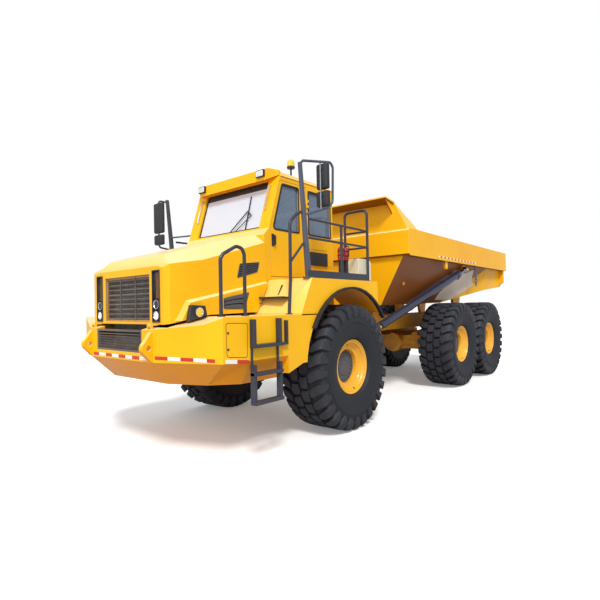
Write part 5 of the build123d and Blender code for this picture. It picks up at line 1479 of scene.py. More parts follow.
def inset(points, by):
    """A convex outline drawn in by a distance."""
    pts = [Vector(p) for p in points]
    out = []
    for i, b in enumerate(pts):
        u, v = (pts[i - 1] - b).normalized(), (pts[(i + 1) % len(pts)] - b).normalized()
        out.append(tuple(b + (u + v).normalized() * by / math.sin(u.angle(v) / 2)))
    return out


def rim(bm, outline, wide, step, radius=30, index=0):
    """A flat band along the inside of an outline, carried along a step."""
    outer = rounded(outline, radius)
    inner = rounded(inset(outline, wide), max(radius - wide * 0.6, 4))
    low_o, low_i = ([bm.verts.new(at(*p)) for p in r] for r in (outer, inner))
    high_o, high_i = ([bm.verts.new(at(*(c + d for c, d in zip(p, step)))) for p in r] for r in (outer, inner))
    n = len(outer)
    for i in range(n):
        j = (i + 1) % n
        for f in ((low_o[i], low_o[j], high_o[j], high_o[i]), (low_i[j], low_i[i], high_i[i], high_i[j]),
                  (high_o[i], high_o[j], high_i[j], high_i[i]), (low_o[j], low_o[i], low_i[i], low_i[j])):
            bm.faces.new(f).material_index = index


def mast(bm, y):
    """A mirror's mast on its side of the truck."""
    rows = []
    for x0, x1, half, z in ((880, 960, 30, DECK_Z + SEAT_GAP), (1035, 1090, 20, MIRROR_MAST_Z)):
        rows.append([bm.verts.new(at(*p)) for p in rounded([(x0, y - half, z), (x1, y - half, z), (x1, y + half, z),
                                                            (x0, y + half, z)], 9, 2)])
    n = len(rows[0])
    for i in range(n):
        bm.faces.new([rows[0][i], rows[0][(i + 1) % n], rows[1][(i + 1) % n], rows[1][i]])
    bm.faces.new(rows[0])
    bm.faces.new(rows[1])
    prism(bm, rounded([(855, y - 48, DECK_Z + SEAT_GAP), (1000, y - 48, DECK_Z + SEAT_GAP),
                       (1000, y + 48, DECK_Z + SEAT_GAP),
                       (855, y + 48, DECK_Z + SEAT_GAP)], 14, 3), (0, 0, 14))
    for x in (870, 986):
        for dy in (-34, 34):
            disc(bm, (x, y + dy, DECK_Z + 14), (0, 0, 1), 8, 8, 6, 0, 1)


def make_mirrors():
    """Both mirrors with their masts and arms."""
    bm = new_bm()
    y, top = RAIL_Y, MIRROR_MAST_Z
    mast(bm, y)
    loop = [(1062, y, top - 20), (1000, y, top + 40), (370, y, top + 165), (305, y, top + 110), (325, y, 3380),
            (410, y, 3280), (985, y, 3090)]
    pipe(bm, bent(loop, 70, 6), 18, 14)
    pipe(bm, [(610, y, top + 112), (610, y, 3225)], 12, 12, 1)
    for z in (3420, 3600, 3800):
        disc(bm, (590, y, z), (1, 0, 0), 26, 22, 16, 2, 2)
    rounded_box(bm, 525, 592, y - 100, y + 100, 3515, top + 100, 2)
    rounded_box(bm, 525, 592, y - 105, y + 105, 3265, 3490, 2)
    for z0, z1, half in ((3530, top + 85, 86), (3280, 3475, 91)):
        prism(bm, rounded([(524, y - half, z0), (524, y + half, z0), (524, y + half, z1), (524, y - half, z1)], 20),
              (-3, 0, 0), 3)
    piece("mirror_left_detail", bm, [MAT["mast"], MAT["steel"], MAT["plastic"], MAT["mirror"]], "front",
          angle=0.5, replaces=("mirror_left",))

    bm = new_bm()
    y = -RAIL_Y
    mast(bm, y)
    pipe(bm, bent([(1062, y, top - 40), (1240, y, top - 40), (1240, y, 2930), (1000, y, 2900)], 60, 6), 16, 14)
    pipe(bm, bent([(1020, y, 3115), (915, y + 380, 3115), (905, -CAB_HALF_WIDTH - SEAT_GAP, 3115)], 60, 6), 14, 12)
    disc(bm, (905, -CAB_HALF_WIDTH - 14, 3115), (0, 1, 0), 38, 13, 20, 0, 2)
    rounded_box(bm, 1205, 1266, y - 130, y + 130, 3175, 3700, 2)
    rounded_box(bm, 1205, 1266, y - 125, y + 125, 2970, 3145, 2)
    for z0, z1, half in ((3190, 3685, 115), (2985, 3130, 110)):
        prism(bm, rounded([(1204, y - half, z0), (1204, y + half, z0), (1204, y + half, z1), (1204, y - half, z1)],
                          20), (-3, 0, 0), 3)
    piece("mirror_right_detail", bm, [MAT["mast"], MAT["steel"], MAT["plastic"], MAT["mirror"]], "front",
          angle=0.5, replaces=("mirror_right",))


def make_front():
    """The pieces of the front unit that replace their nodes."""
    yellow = MAT["yellow"]
    show("nose", [make_nose()], yellow, "front")
    show("tow_lugs", make_lugs(), yellow, "front", bevel=0.004)
    half = LOWER_GRILLE_HALF - SEAT_GAP
    show("lower_grille", [slats(NOSE_FRONT_X - 60, NOSE_FRONT_X - 2, half, 1345.3, 1612.0, 6, 12.0)], MAT["slate"],
         "front",
         bevel=0.002)
    show("hood", [make_hood()], yellow, "hood_unit")
    show("main_grille", [make_main_grille()], MAT["slat"], "hood_unit", bevel=0.002)
    show("head_lamps", make_head_lamps(), MAT["navy"], "hood_unit", bevel=0.003)
    show("hood_vents", make_hood_vents(), MAT["navy"], "hood_unit", bevel=0.004)
    show("cab_shell", [make_cab_shell()], yellow, "front")
    show("cab_roof", [make_cab_roof()], yellow, "front")
    panes = make_cab_glass()
    for pane in panes[1:]:
        for m in pane.parts:
            m.polygons.foreach_set("material_index", [1] * len(m.polygons))
    show("cab_glass", panes, [MAT["screen"], MAT["glass"]], "front")
    show("work_lamps", make_work_lamps(), MAT["plastic"], "front", bevel=0.006)
    show("door", [make_door()], yellow, "cab_door")
    y = CAB_HALF_WIDTH - CAB_WALL / 2
    show("door_glass", [prism_xz(door_window(SEAT_GAP), y, y + GLASS_THICK)], MAT["glass"], "cab_door")
    show("fenders", [make_fender(1), make_fender(-1)], yellow, "front")
    right = make_ladder(-1).cut(block(1400, 2200, -1800, -1500, 600, 1382))
    show("ladders", [make_ladder(1), right], MAT["navy"], "front", bevel=0.004)
    show("tanks", [make_tank(1), make_tank(-1)], MAT["cream"], "front", bevel=0.01)


def make_tapes():
    """Red and white reflective tapes on the nose and along the load body."""
    bm = new_bm()
    x, low, high = NOSE_FRONT_X + 0.6, 1265, 1305
    bounds = [-635, -487, -308, -153, 13, 173, 327, 491, 647]
    for n, (y0, y1) in enumerate(zip(bounds, bounds[1:])):
        prism(bm, [(x, y0, low), (x, y1, low), (x, y1, high), (x, y0, high)], (1.4, 0, 0), n % 2)
    rise = (NOSE_FRONT_X - CHEEK_REAR_X) / (BODY_HALF_WIDTH - 15 - NOSE_CORNER_Y)
    for sign in (1, -1):
        bounds = [770, 930, 1087, 1242, 1398, 1493]
        for n, (y0, y1) in enumerate(zip(bounds, bounds[1:])):
            points = []
            for y, top in ((y0, 0), (y1, 0), (y1, 1), (y0, 1)):
                z = 1280 - 20 * (y - 770) / 723 + 40 * top
                points.append((NOSE_FRONT_X - (y - NOSE_CORNER_Y) * rise + 0.6, sign * y, z))
            prism(bm, points, (1.3, sign * 0.5, 0), n % 2)
        for n, (x0, x1) in enumerate(((2459, 2295), (2295, 2121))):
            points = [(x, sign * (1600.4 - (x - 2080) * 15 / 410), 1250 - 36 * (2459 - x) / 338 + 44 * top)
                      for x, top in ((x0, 0), (x1, 0), (x1, 1), (x0, 1))]
            prism(bm, points, (0, sign * 1.4, 0), 1 - n)
    piece("nose_tape", bm, [MAT["tape_red"], MAT["tape_white"]], "front")
    bm = new_bm()
    for sign in (1, -1):
        for n in range(23):
            x0 = -3460 - n * 100
            z = 2828 if n % 2 else 2830
            prism(bm, [(x0, sign * (BED_RAIL_Y + 0.6), z), (x0 - 62, sign * (BED_RAIL_Y + 0.6), z),
                       (x0 - 62, sign * (BED_RAIL_Y + 0.6), z + 38), (x0, sign * (BED_RAIL_Y + 0.6), z + 38)],
                  (0, sign * 1.4, 0), n % 2)
    piece("rail_tape", bm, [MAT["tape_white"], MAT["tape_red"]], "load_bed")


def make_seams():
    """Dark gaps round the side box doors, with their hinges and latches."""
    bm = new_bm()
    for sign in (1, -1):
        def face_y(x):
            return sign * (1600.3 - (x - 2080) * 15 / 410)
        outline = [(x, face_y(x), z) for x, z in ((2450, 1692), (2132, 1679), (2142, 1285), (2440, 1315))]
        rim(bm, outline, 6, (0, sign * 0.8, 0), 34)
        for z in (1400, 1580):
            disc(bm, (2420, face_y(2420), z), (0, sign, 0), 13, 8, 16, 1, 2)
    piece("box_door_seams", bm, [MAT["shadow"], MAT["plastic"]], "front")


def make_hood_trim():
    """Louvres, vents, side lamps and a lifting handle on the hood."""
    bm = new_bm()
    out = HOOD_SIDE_Y + HOOD_BELT_OUT
    for sign in (1, -1):
        # Louvre on the belt: a dark recess with three fins that sweep back and up
        louvre = [(1964, 1977), (1523, 2058), (1613, 1837), (1967, 1843)]
        prism(bm, rounded([(x, sign * (out + 0.5), z) for x, z in louvre], 22), (0, sign * 2.5, 0), 0)
        rim(bm, [(x, sign * (out + 0.5), z) for x, z in louvre], 9, (0, sign * 7, 0), 22, 1)
        for k in range(3):
            f = (k + 0.14) / 3
            g = f + 0.24
            edge = []
            for t, s in ((0.04, f), (0.35, f + 0.03), (0.68, f + 0.02), (0.95, f - 0.03),
                         (0.95, g - 0.03), (0.68, g + 0.03), (0.35, g + 0.05), (0.04, g)):
                low = (1967 + (1613 - 1967) * t, 1843 + (1837 - 1843) * t)
                top = (1964 + (1523 - 1964) * t, 1977 + (2058 - 1977) * t)
                edge.append((low[0] + (top[0] - low[0]) * s, sign * (out + 3), low[1] + (top[1] - low[1]) * s))
            prism(bm, edge, (0, sign * 15, 0), 1)
        # Vent beside the hood's shoulder
        def side_y(x):
            return sign * (937 + (2227 - x) / 1187 * 18)
        vent = [(x, side_y(x) + sign * 0.5, z) for x, z in ((1639, 2437), (1278, 2478), (1320, 2337), (1691, 2241))]
        prism(bm, rounded(vent, 24), (0, sign * 3, 0), 0)
        rim(bm, vent, 10, (0, sign * 6, 0), 24, 1)
        for k in range(1, 6):
            t = k / 6
            a = [vent[0][i] + (vent[3][i] - vent[0][i]) * t for i in range(3)]
            b = [vent[1][i] + (vent[2][i] - vent[1][i]) * t for i in range(3)]
            pipe(bm, [(a[0] - 14, a[1] + sign * 3, a[2]), (b[0] + 14, b[1] + sign * 3, b[2])], 4, 8, 1)
        # Side lamp: a pale ring round a yellow lens
        lamp_x, lamp_y = HOOD_FRONT_X - 315, sign * (out + 78.3)
        turned(bm, (lamp_x, lamp_y, 1812), (0, sign, 0), [(0, 57), (7, 56), (9, 50), (6, 44), (0, 43)], 32, 2)
        turned(bm, (lamp_x, lamp_y, 1812), (0, sign, 0), [(1, 44), (5, 36), (9, 20), (10, 0)], 32, 3)
        # Lifting handle near the rear edge
        pipe(bm, bent([(1330, side_y(1330), 1905), (1330, side_y(1330) + sign * 90, 1905),
                       (1330, side_y(1330) + sign * 90, 1990),
                       (1330, side_y(1330), 1990)], 20, 4), 8, 10, 1)
    piece("hood_trim", bm, [MAT["shadow"], MAT["mast"], MAT["reflector"], MAT["yellow_lens"]], "hood_unit")


def make_grille_detail():
    """Wire mesh over the slats with an amber band round it, and the lamps' reflectors and lenses."""
    bm = new_bm()
    x = HOOD_FRONT_X - 27
    low, high, half = GRILLE_LOW_Z + 5, GRILLE_HIGH_Z - 10, GRILLE_HALF - 5
    for n in range(1, 44):
        y = -half + n * 2 * half / 44
        box(bm, x, x + 2.2, y - 1.3, y + 1.3, low, high, 0)
    for n in range(1, 24):
        z = low + n * (high - low) / 24
        box(bm, x + 1.2, x + 3.4, -half, half, z - 1.3, z + 1.3, 0)
    y0, z0 = half, low
    outer = [(x - 14, -half, low), (x - 14, half, low), (x - 14, half, high), (x - 14, -half, high)]
    rim(bm, outer, 16, (14, 0, 0), 10, 1)
    for y in (-half / 3, half / 3):
        box(bm, x - 8, x + 1, y - 7, y + 7, low, high, 0)
    piece("grille_mesh", bm, [MAT["slate"], MAT["amber_paint"]], "hood_unit")
    bm = new_bm()
    for sign in (1, -1):
        y = sign * (LAMP_INNER_Y + LAMP_OUTER_Y) / 2
        z_low = GRILLE_LOW_Z - 5 + SEAT_GAP
        face = HOOD_FRONT_X + 2.3
        for z, tone in ((z_low + 80, 0), (z_low + 210, 2)):
            turned(bm, (face, y, z), (1, 0, 0), [(0, 56), (6, 55), (7, 49), (2, 45), (0, 44)], 32, 1)
            turned(bm, (face, y, z), (1, 0, 0), [(1, 45), (4, 34), (6, 18), (7, 0)], 32, tone)
        # Mesh with an amber backing over the upper part
        y0, y1 = y - 62, y + 62
        box(bm, HOOD_FRONT_X - 35, HOOD_FRONT_X - 32, y0, y1, z_low + 285, z_low + 590, 3)
        for n in range(1, 8):
            yy = y0 + n * (y1 - y0) / 8
            box(bm, HOOD_FRONT_X - 6, HOOD_FRONT_X - 3, yy - 1.4, yy + 1.4, z_low + 280, z_low + 594, 2)
        for n in range(1, 20):
            z = z_low + 280 + n * 314 / 20
            box(bm, HOOD_FRONT_X - 4, HOOD_FRONT_X - 1, y0, y1, z - 1.4, z + 1.4, 2)
    piece("lamp_lenses", bm, [MAT["lens"], MAT["reflector"], MAT["navy"], MAT["amber_paint"]], "hood_unit",
          angle=0.5)
    # Radiator core behind the grille, on the front frame's beam
    bm = new_bm()
    box(bm, 2560, 2600, -500, 500, 1420, 2230, 0)
    for n in range(60):
        y = -492 + n * 984 / 59
        box(bm, 2600, 2606, y - 2, y + 2, 1430, 2220, 0)
    piece("radiator_core", bm, MAT["slate"], "front")
    # Fine mesh in the lower grille
    bm = new_bm()
    x, half = NOSE_FRONT_X - 4, LOWER_GRILLE_HALF - 32
    for n in range(1, 60):
        y = -half + n * 2 * half / 60
        box(bm, x - 2, x, y - 1.2, y + 1.2, 1368, 1537, 0)
    for n in range(1, 12):
        z = 1368 + n * 169 / 12
        box(bm, x, x + 2, -half, half, z - 1.2, z + 1.2, 0)
    piece("lower_mesh", bm, MAT["slate"], "front")


def on_screen(y, z, off=0.0):
    """A place on the windscreen, so far in front of it."""
    return (front_x(z) - SCREEN_RECESS + off, y, z)


def make_cab_trim():
    """Seals, wiper, dark band and handles on the cab."""
    bm = new_bm()
    half = SCREEN_HALF
    corners = [(-half, SCREEN_LOW_Z), (half, SCREEN_LOW_Z), (half, SCREEN_HIGH_Z), (-half, SCREEN_HIGH_Z)]
    rim(bm, [on_screen(y, z, 1) for y, z in corners], 24, (8, 0, 2.5), 46)
    # Seals of the side and rear windows
    y = CAB_HALF_WIDTH
    for sign in (1, -1):
        rim(bm, [(x, sign * (y + 0.4), z) for x, z in quarter_window(-8)], 24, (0, sign * 5, 0), 40)
    rim(bm, [(x, -y - 0.4, z) for x, z in door_window(-8)], 24, (0, -5, 0), 40)
    rear = [(CAB_REAR_X - 0.4, y, z) for y, z in ((-606, 2944), (606, 2944), (606, 3606), (-606, 3606))]
    rim(bm, rear, 26, (-5, 0, 0), 50)
    # Dark band along the top of the windscreen, and the wiper with its two arms
    prism(bm, [on_screen(s * (half - 16), z, 0.6) for s, z in ((-1, 3632), (1, 3632), (1, 3722), (-1, 3722))],
          (1.2, 0, 0.4), 1)
    for y, z in ((26, 2962), (130, 2957)):
        turned(bm, on_screen(y, z, 10), (1, 0, 0.3), [(0, 24), (30, 22), (38, 14), (38, 0)], 16, 1)
    pipe(bm, bent([on_screen(26, 2962, 44), on_screen(200, 3140, 34), on_screen(373, 3319, 26)], 60, 4), 9, 10, 1)
    pipe(bm, bent([on_screen(130, 2957, 44), on_screen(300, 3100, 34), on_screen(471, 3241, 26)], 60, 4), 7, 10, 1)
    pipe(bm, [on_screen(471, 3241, 26), on_screen(373, 3319, 26)], 8, 10, 1)
    pipe(bm, [on_screen(392, 3003, 14), on_screen(367, 3560, 14)], 9, 10, 1)
    pipe(bm, [on_screen(392, 3003, 5), on_screen(367, 3560, 5)], 5, 8, 0)
    # Grab handles on the pillars
    for y in (802, -760):
        ends = [(front_x(z), y, z) for z in (3654, 3288)]
        pts = [ends[0], (ends[0][0] + 42, y, 3650), (ends[1][0] + 42, y, 3292), ends[1]]
        pipe(bm, bent(pts, 24, 4), 11, 12, 2)
    piece("cab_seals", bm, [MAT["rubber"], MAT["plastic"], MAT["reflector"]], "front", angle=0.5)

    bm = new_bm()
    y = CAB_HALF_WIDTH
    rim(bm, [(x, y + 0.4, z) for x, z in door_window(-8)], 24, (0, 5, 0), 40)
    # Handle: a recessed plate with a bar over it
    plate = [(1003, 2910), (912, 2890), (915, 2752), (998, 2718)]
    prism(bm, rounded([(x, y + 0.4, z) for x, z in plate], 18), (0, 7, 0), 1)
    pipe(bm, bent([(972, y + 5, 2880), (962, y + 42, 2870), (962, y + 42, 2760), (972, y + 5, 2746)], 18, 4), 11, 10, 1)
    piece("door_seal", bm, [MAT["rubber"], MAT["plastic"]], "cab_door", angle=0.5)

    # Work lamps' lenses
    bm = new_bm()
    face = VISOR_FRONT_X + SEAT_GAP + 36.3
    low = CAB_ROOF_Z - 8
    for sign in (1, -1):
        y = sign * (VISOR_HALF - 132)
        quad_points = [(face, y - 68, low + 13), (face, y + 68, low + 13), (face, y + 68, low + 93),
                       (face, y - 68, low + 93)]
        prism(bm, rounded(quad_points, 14), (3, 0, 0), 0)
        for n in range(1, 6):
            yy = y - 68 + n * 136 / 6
            box(bm, face + 3, face + 5, yy - 1.5, yy + 1.5, low + 16, low + 90, 1)
    piece("work_lamp_lenses", bm, [MAT["lens"], MAT["plastic"]], "front")


def make_deck_items():
    """What stands on the decks and fenders."""
    bm = new_bm()
    for sign in (1, -1):
        # Tread bar and latch on the fender's sloping front
        prism(bm, rounded([(1180, sign * 950, 1965), (1342, sign * 950, 1965), (1342, sign * 1420, 1965),
                           (1180, sign * 1420, 1965)], 12),
              (0, 0, 24), 0)
        for n in range(9):
            y = sign * (985 + n * 50)
            box(bm, 1250, 1335, min(y, y + sign * 14), max(y, y + sign * 14), 1989, 1994, 1)
        pipe(bm, [(1172, sign * 1200, 2011), (1092, sign * 1200, 2154)], 13, 10, 0)
        # Kick plate along the deck's outer edge
        box(bm, -560, 968, min(sign * 1566, sign * 1574), max(sign * 1566, sign * 1574), DECK_Z + 0.4, 2345, 1)
        # Anti-slip treads on the deck
        for n in range(12):
            x = -300 + n * 95
            for m in range(4):
                y = sign * (1100 + m * 110)
                turned(bm, (x, y, DECK_Z + 0.2), (0, 0, 1), [(0, 18), (3, 15), (3, 9), (0, 8)], 12, 1)
    box(bm, -300, 208, CAB_HALF_WIDTH + 0.4, CAB_HALF_WIDTH + 34, 2500, 2710, 0)
    piece("deck_trim", bm, [MAT["plastic"], MAT["navy"]], "front", bevel=0.003)
    bm = new_bm()
    cream = [(127, 2940), (-489, 2940), (-489, 2490), (-330, 2490), (-330, 2760), (127, 2760)]
    prism(bm, [(x, CAB_HALF_WIDTH + 0.4, z) for x, z in cream], (0, 5, 0), 0)
    piece("side_panel", bm, MAT["yellow"], "front", bevel=0.003)
    # Extinguishers with their valves, straps and stands
    bm = new_bm()
    deck = DECK_Z + SEAT_GAP
    for n in range(2):
        x, y = -110 - 125 * n, BODY_HALF_WIDTH - 240
        box(bm, x - 30, x + 30, y - 30, y + 30, deck, deck + 322, 1)
        base = deck + 322
        turned(bm, (x, y, base), (0, 0, 1), [(0, 0), (0, 46), (8, 52), (165, 52), (190, 44), (206, 26), (212, 17),
                                             (226, 16), (226, 0)], 28, 0)
        turned(bm, (x, y, base + 60), (0, 0, 1), [(0, 52), (0, 54.5), (22, 54.5), (22, 52)], 28, 1)
        turned(bm, (x, y, base + 130), (0, 0, 1), [(0, 52), (0, 54.5), (22, 54.5), (22, 52)], 28, 1)
        box(bm, x - 9, x + 9, y - 12, y + 40, base + 224, base + 236, 1)
        pipe(bm, bent([(x, y + 12, base + 226), (x, y + 66, base + 220), (x, y + 62, base + 60)], 30, 5), 7, 8, 1)
    piece("extinguisher_set", bm, [MAT["red"], MAT["plastic"]], "front", angle=0.5,
          replaces=("extinguishers",))


def make_beacon_detail():
    """Beacon on its stalk."""
    bm = new_bm()
    base = CAB_ROOF_Z + ROOF_THICK
    turned(bm, (280, 700, base + 0.3), (0, 0, 1), [(0, 0), (0, 40), (6, 40), (9, 15), (4045 - base, 14),
                                                   (4045 - base, 60), (4058 - base, 65), (4074 - base, 63),
                                                   (4078 - base, 58), (4078 - base, 0)], 32, 0)
    turned(bm, (280, 700, 4079), (0, 0, 1), [(0, 58), (10, 61), (28, 59), (34, 60), (58, 57), (64, 58), (86, 52),
                                             (100, 40), (108, 22),
                                             (110.5, 0)], 32, 1)
    piece("beacon_detail", bm, [MAT["plastic"], MAT["yellow_lens"]], "front", angle=0.5,
          replaces=("beacon",))


def make_hoists():
    """Barrels and rods of the two hoists."""
    for name, sign in SIDES.items():
        low, eye = Vector((-1950, sign * 940, 1430)), Vector((-5280, sign * 1450, 2660))
        axis = (eye - low).normalized()
        reach = (eye - low).length
        end = reach * 0.9
        bm = new_bm()
        turned(bm, low - Vector((0, 44, 0)), (0, 1, 0), [(0, 31), (0, 74), (6, 80), (82, 80), (88, 74), (88, 31)], 32,
               0)
        turned(bm, low, axis, [(50, 0), (50, 70), (58, 80), (0.30 * reach, 80), (0.302 * reach, 86),
                               (0.316 * reach, 86), (0.318 * reach, 80),
                               (0.64 * reach, 80), (0.642 * reach, 86), (0.656 * reach, 86), (0.658 * reach, 80),
                               (end - 135, 80),
                               (end - 130, 94), (end - 30, 94), (end - 26, 88), (end, 86), (end, 46)], 40, 0)
        for d in (0.30 * reach - 60, end - 80):
            c = low + axis * d
            disc(bm, c + Vector((0, 0, 70)), (0, 0, 1), 17, 32, 12, 0, 3)
        pipe(bm, bent([tuple(low + axis * (0.30 * reach - 60) + Vector((0, 0, 100))),
                       tuple(low + axis * (0.5 * reach) + Vector((0, 0, 106))),
                       tuple(low + axis * (end - 80) + Vector((0, 0, 100)))], 40, 4), 10, 10, 0)
        piece(f"hoist_barrel_detail_{name}", bm, MAT["hoist"], f"hoist_barrel_{name}", angle=0.5,
              replaces=(f"hoist_barrel_{name}",))
        bm = new_bm()
        turned(bm, low, axis, [(0.125 * reach, 0), (0.125 * reach, 45), (reach - 110, 45), (reach - 100, 60),
                               (reach - 46, 66)], 32, 1)
        turned(bm, eye - Vector((0, 44, 0)), (0, 1, 0), [(0, 31), (0, 74), (6, 80), (82, 80), (88, 74), (88, 31)], 32,
               0)
        piece(f"hoist_rod_detail_{name}", bm, [MAT["hoist"], MAT["rod"]], f"hoist_rod_{name}", angle=0.5,
              replaces=(f"hoist_rod_{name}",))


def make_lugs():
    """Tow lugs, each one outline with its hole."""
    lugs = []
    for sign in (1, -1):
        base_x, y0 = NOSE_FRONT_X - 28, sign * TOW_HOLE_Y - TOW_LUG_THICK / 2
        arc = [math.radians(58 - 116 * n / 12) for n in range(13)]
        outline = [(base_x, TOW_HOLE_Z + 186), (NOSE_FRONT_X + 5, TOW_HOLE_Z + 182)]
        outline += [(TOW_HOLE_X + TOW_LUG_RADIUS * math.cos(a), TOW_HOLE_Z + TOW_LUG_RADIUS * math.sin(a)) for a in arc]
        outline += [(NOSE_FRONT_X + 5, TOW_HOLE_Z - 155), (base_x, TOW_HOLE_Z - 160)]
        hole = rod((TOW_HOLE_X, y0 - 5, TOW_HOLE_Z), (TOW_HOLE_X, y0 + TOW_LUG_THICK + 5, TOW_HOLE_Z), TOW_HOLE_RADIUS)
        lugs.append(prism_xz(outline, y0, y0 + TOW_LUG_THICK).cut(hole))
    return lugs


PAD_VOXEL = 0.011
PAD_CAP = 0.014
PAD_PRESSURE = 4.0
PAD_FRAMES = 20
CHANNEL_Y, CHANNEL_DEPTH, CHANNEL_WIDTH = 0.100, 0.009, 0.014


def swollen(name, points, voxel, cap):
    """Mesh of a pad: its block remeshed, blown up as cloth, and no vertex moved further than the cap."""
    bm = new_bm()
    verts = [bm.verts.new(at(*p)) for p in points]
    for loop in ((0, 3, 2, 1), (4, 5, 6, 7), (0, 1, 5, 4), (1, 2, 6, 5), (2, 3, 7, 6), (3, 0, 4, 7)):
        bm.faces.new([verts[n] for n in loop])
    bmesh.ops.recalc_face_normals(bm, faces=bm.faces)
    bmesh.ops.bevel(bm, geom=bm.edges[:], offset=0.035, segments=3, affect="EDGES", profile=0.5)
    me = bpy.data.meshes.new(name)
    bm.to_mesh(me)
    bm.free()
    ob = bpy.data.objects.new(name + "_block", me)
    SCENE.collection.objects.link(ob)
    remesh = ob.modifiers.new("Remesh", "REMESH")
    remesh.mode = "VOXEL"
    remesh.voxel_size = voxel
    fine = bpy.data.meshes.new_from_object(ob.evaluated_get(bpy.context.evaluated_depsgraph_get()))
    ob.modifiers.clear()
    ob.data = fine
    cloth = ob.modifiers.new("Cloth", "CLOTH")
    cloth.settings.quality = 5
    cloth.settings.use_pressure = True
    cloth.settings.uniform_pressure_force = PAD_PRESSURE
    cloth.settings.effector_weights.gravity = 0.0
    for frame in range(1, PAD_FRAMES + 1):
        SCENE.frame_set(frame)
    blown = ob.evaluated_get(bpy.context.evaluated_depsgraph_get()).data
    for v, w in zip(fine.vertices, blown.vertices):
        move = w.co - v.co
        if move.length > cap:
            move *= cap / move.length
        v.co += move
    ob.modifiers.clear()
    SCENE.frame_set(1)
    bpy.data.objects.remove(ob)
    return fine


def make_seat_pads():
    """Padded driver's seat on its base, with sewn channels pressed into the pads."""
    floor = CAB_FLOOR_Z + 20 + SEAT_GAP
    show("seat", [block(-110, 330, -240, 240, floor, 2622), block(-60, 280, -190, 190, 2622, 2632)],
         MAT["plastic"], "front", bevel=0.012)
    low = [(-128, -255, 2640), (368, -255, 2640), (368, 255, 2640), (-128, 255, 2640)]
    cushion = low + [(x, y, 2746) for x, y, z in low]
    back = [(-116, -246, 2766), (-4, -246, 2766), (-4, 246, 2766), (-116, 246, 2766),
            (-226, -246, 3424), (-128, -246, 3424), (-128, 246, 3424), (-226, 246, 3424)]
    for name, points in (("seat_cushion", cushion), ("seat_back", back)):
        mesh = swollen(name, points, PAD_VOXEL, PAD_CAP)
        for v in mesh.vertices:
            y = abs(v.co.y) if abs(v.normal.y) < 0.6 else 9.0
            v.co -= v.normal * CHANNEL_DEPTH * math.exp(-((y - CHANNEL_Y) / CHANNEL_WIDTH) ** 2)
        bm = new_bm()
        bm.from_mesh(mesh)
        bpy.data.meshes.remove(mesh)
        ob = piece(name, bm, MAT["cloth"], "front", angle=3.0, replaces=("seat",))
        smooth = ob.modifiers.new("Smooth", "SUBSURF")
        smooth.levels = smooth.render_levels = 1


WALL_STATIONS = [(-2130, 1850, 900), (-5000, 1880, 900), (-7000, 2210, 1340), (-8350, 2320, 1370)]
RAIL_FOOT_Y, RAIL_FOOT_Z = 1400, 2780
FLAT_WALL_X = -5000
RAY_OUTSIDE = 260
RAY_REACH = 0.5
# The pale patch on the load body's wall is painted reflected light: its mesh counts, its offsets from the wall, and its
# lower and upper edges
PATCH_COLUMNS, PATCH_ROWS = 24, 8
PATCH_FACES = (2, 6)
PATCH_LOW = [(-6419, 2329), (-6075, 2179), (-5378, 1944), (-4605, 1947)]
PATCH_HIGH = [(-6419, 2330), (-6141, 2710), (-5133, 2542), (-4808, 2456), (-4605, 1990)]
BOSS = (-2633, 1128, 2277)
EYE = (-3955, 2681)


def between(points, x):
    """Height of a chain of points at x."""
    for (x0, z0), (x1, z1) in zip(points, points[1:]):
        if x <= x1:
            return z0 + (z1 - z0) * (x - x0) / (x1 - x0)
    return points[-1][1]


def wall_y(x, z, side_y):
    """How far out the load body's lower side wall is, on that side."""
    for (x0, f0, h0), (x1, f1, h1) in zip(WALL_STATIONS, WALL_STATIONS[1:]):
        if x >= x1:
            break
    t = (x - x0) / (x1 - x0)
    floor, half = f0 + (f1 - f0) * t, h0 + (h1 - h0) * t
    guess = half + (RAIL_FOOT_Y - half) * (z - floor) / (RAIL_FOOT_Z - floor)
    if x > FLAT_WALL_X:
        return guess
    # Further back the wall is folded, differently on each side, so its real surface is asked for
    ob = NODES["dump_body"]
    back = ob.matrix_world.inverted()
    start, ahead = back @ at(x, side_y * (guess + RAY_OUTSIDE), z), back.to_3x3() @ Vector((0, -side_y, 0))
    found, place, _, _ = ob.ray_cast(start, ahead, distance=RAY_REACH)
    return abs((ob.matrix_world @ place).y) * 1000 if found else guess


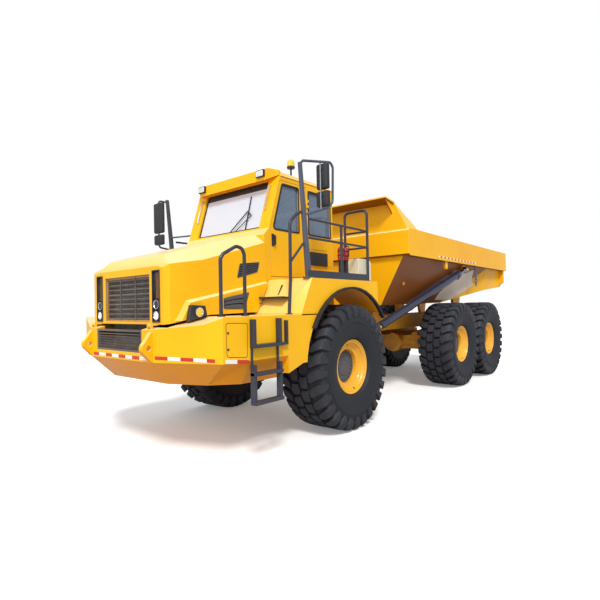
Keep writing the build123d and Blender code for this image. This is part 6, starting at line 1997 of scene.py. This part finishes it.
def make_body_details():
    """Belt across the load body's front, a pale patch of painted reflected light on its wall, and its small fittings.
    """
    bm = new_bm()
    low, high, x = 2780, 3290, -2130
    belt = [(x + 1, -1550, low), (x + 75, -1548, low + 25), (x + 75, -1548, high - 40), (x + 1, -1550, high)]
    prism(bm, belt, (0, 3100, 0), 0)
    piece("front_belt", bm, MAT["body"], "load_bed", bevel=0.006)
    bm = new_bm()
    # A thin sheet of painted reflected light, following the wall's surface on each side
    rear, front = PATCH_LOW[0][0], PATCH_LOW[-1][0]
    for side_y in (1, -1):
        rows = []
        for n in range(PATCH_COLUMNS + 1):
            px = rear + (front - rear) * n / PATCH_COLUMNS
            z0, z1 = between(PATCH_LOW, px), between(PATCH_HIGH, px)
            heights = [z0 + (z1 - z0) * k / PATCH_ROWS for k in range(PATCH_ROWS + 1)]
            wall = [(wall_y(px, pz, side_y), pz) for pz in heights]
            rows.append([[bm.verts.new(at(px, side_y * (wy + out), pz)) for wy, pz in wall] for out in PATCH_FACES])
        for a, b in zip(rows, rows[1:]):
            for k in range(PATCH_ROWS):
                for layer in (0, 1):
                    bm.faces.new([a[layer][k], b[layer][k], b[layer][k + 1], a[layer][k + 1]])
            for k in (0, PATCH_ROWS):
                bm.faces.new([a[0][k], b[0][k], b[1][k], a[1][k]])
        for end in (rows[0], rows[-1]):
            for k in range(PATCH_ROWS):
                bm.faces.new([end[0][k], end[0][k + 1], end[1][k + 1], end[1][k]])
    piece("wall_painted_light", bm, MAT["patch"], "load_bed")
    bm = new_bm()
    for side_y in (1, -1):
        bx, by, bz = BOSS
        disc(bm, (bx, side_y * by, bz), (0, side_y, -0.45), 38, 22, 20, 0, 0)
        ex, ez = EYE
        for y in (1470, 1500):
            prism(bm, rounded([(ex - 70, side_y * y, 2785), (ex - 60, side_y * y, ez - 70),
                               (ex + 60, side_y * y, ez - 70), (ex + 70, side_y * y, 2785)], 40), (0, side_y * 14, 0),
                  0)
    piece("wall_fittings", bm, MAT["yellow"], "load_bed", bevel=0.003)


make_camera()
make_stage()
dress(MAT["body"], "dump_body")
dress(MAT["frame"], "front_frame", "rear_frame", "hitch", "front_axle", "rear_axles", "bogie_beams")
dress(MAT["plastic"], "dash_console")
dress(MAT["rubber"], "arch_lips")
dress(MAT["steel"], "chains")
dress(MAT["hoist"], "hoist_barrel_left", "hoist_barrel_right")
dress(MAT["chrome"], "hoist_rod_left", "hoist_rod_right")
dress(MAT["cloth"], "seat")
dress(MAT["grey"], "engine_block")
dress(MAT["red"], "extinguishers")
dress(MAT["amber"], "beacon")

make_front()
make_rails()
make_mirrors()
make_tapes()
make_seams()
make_hood_trim()
make_grille_detail()
make_cab_trim()
make_deck_items()
make_beacon_detail()
make_hoists()
make_body_details()
make_seat_pads()
make_wheels()
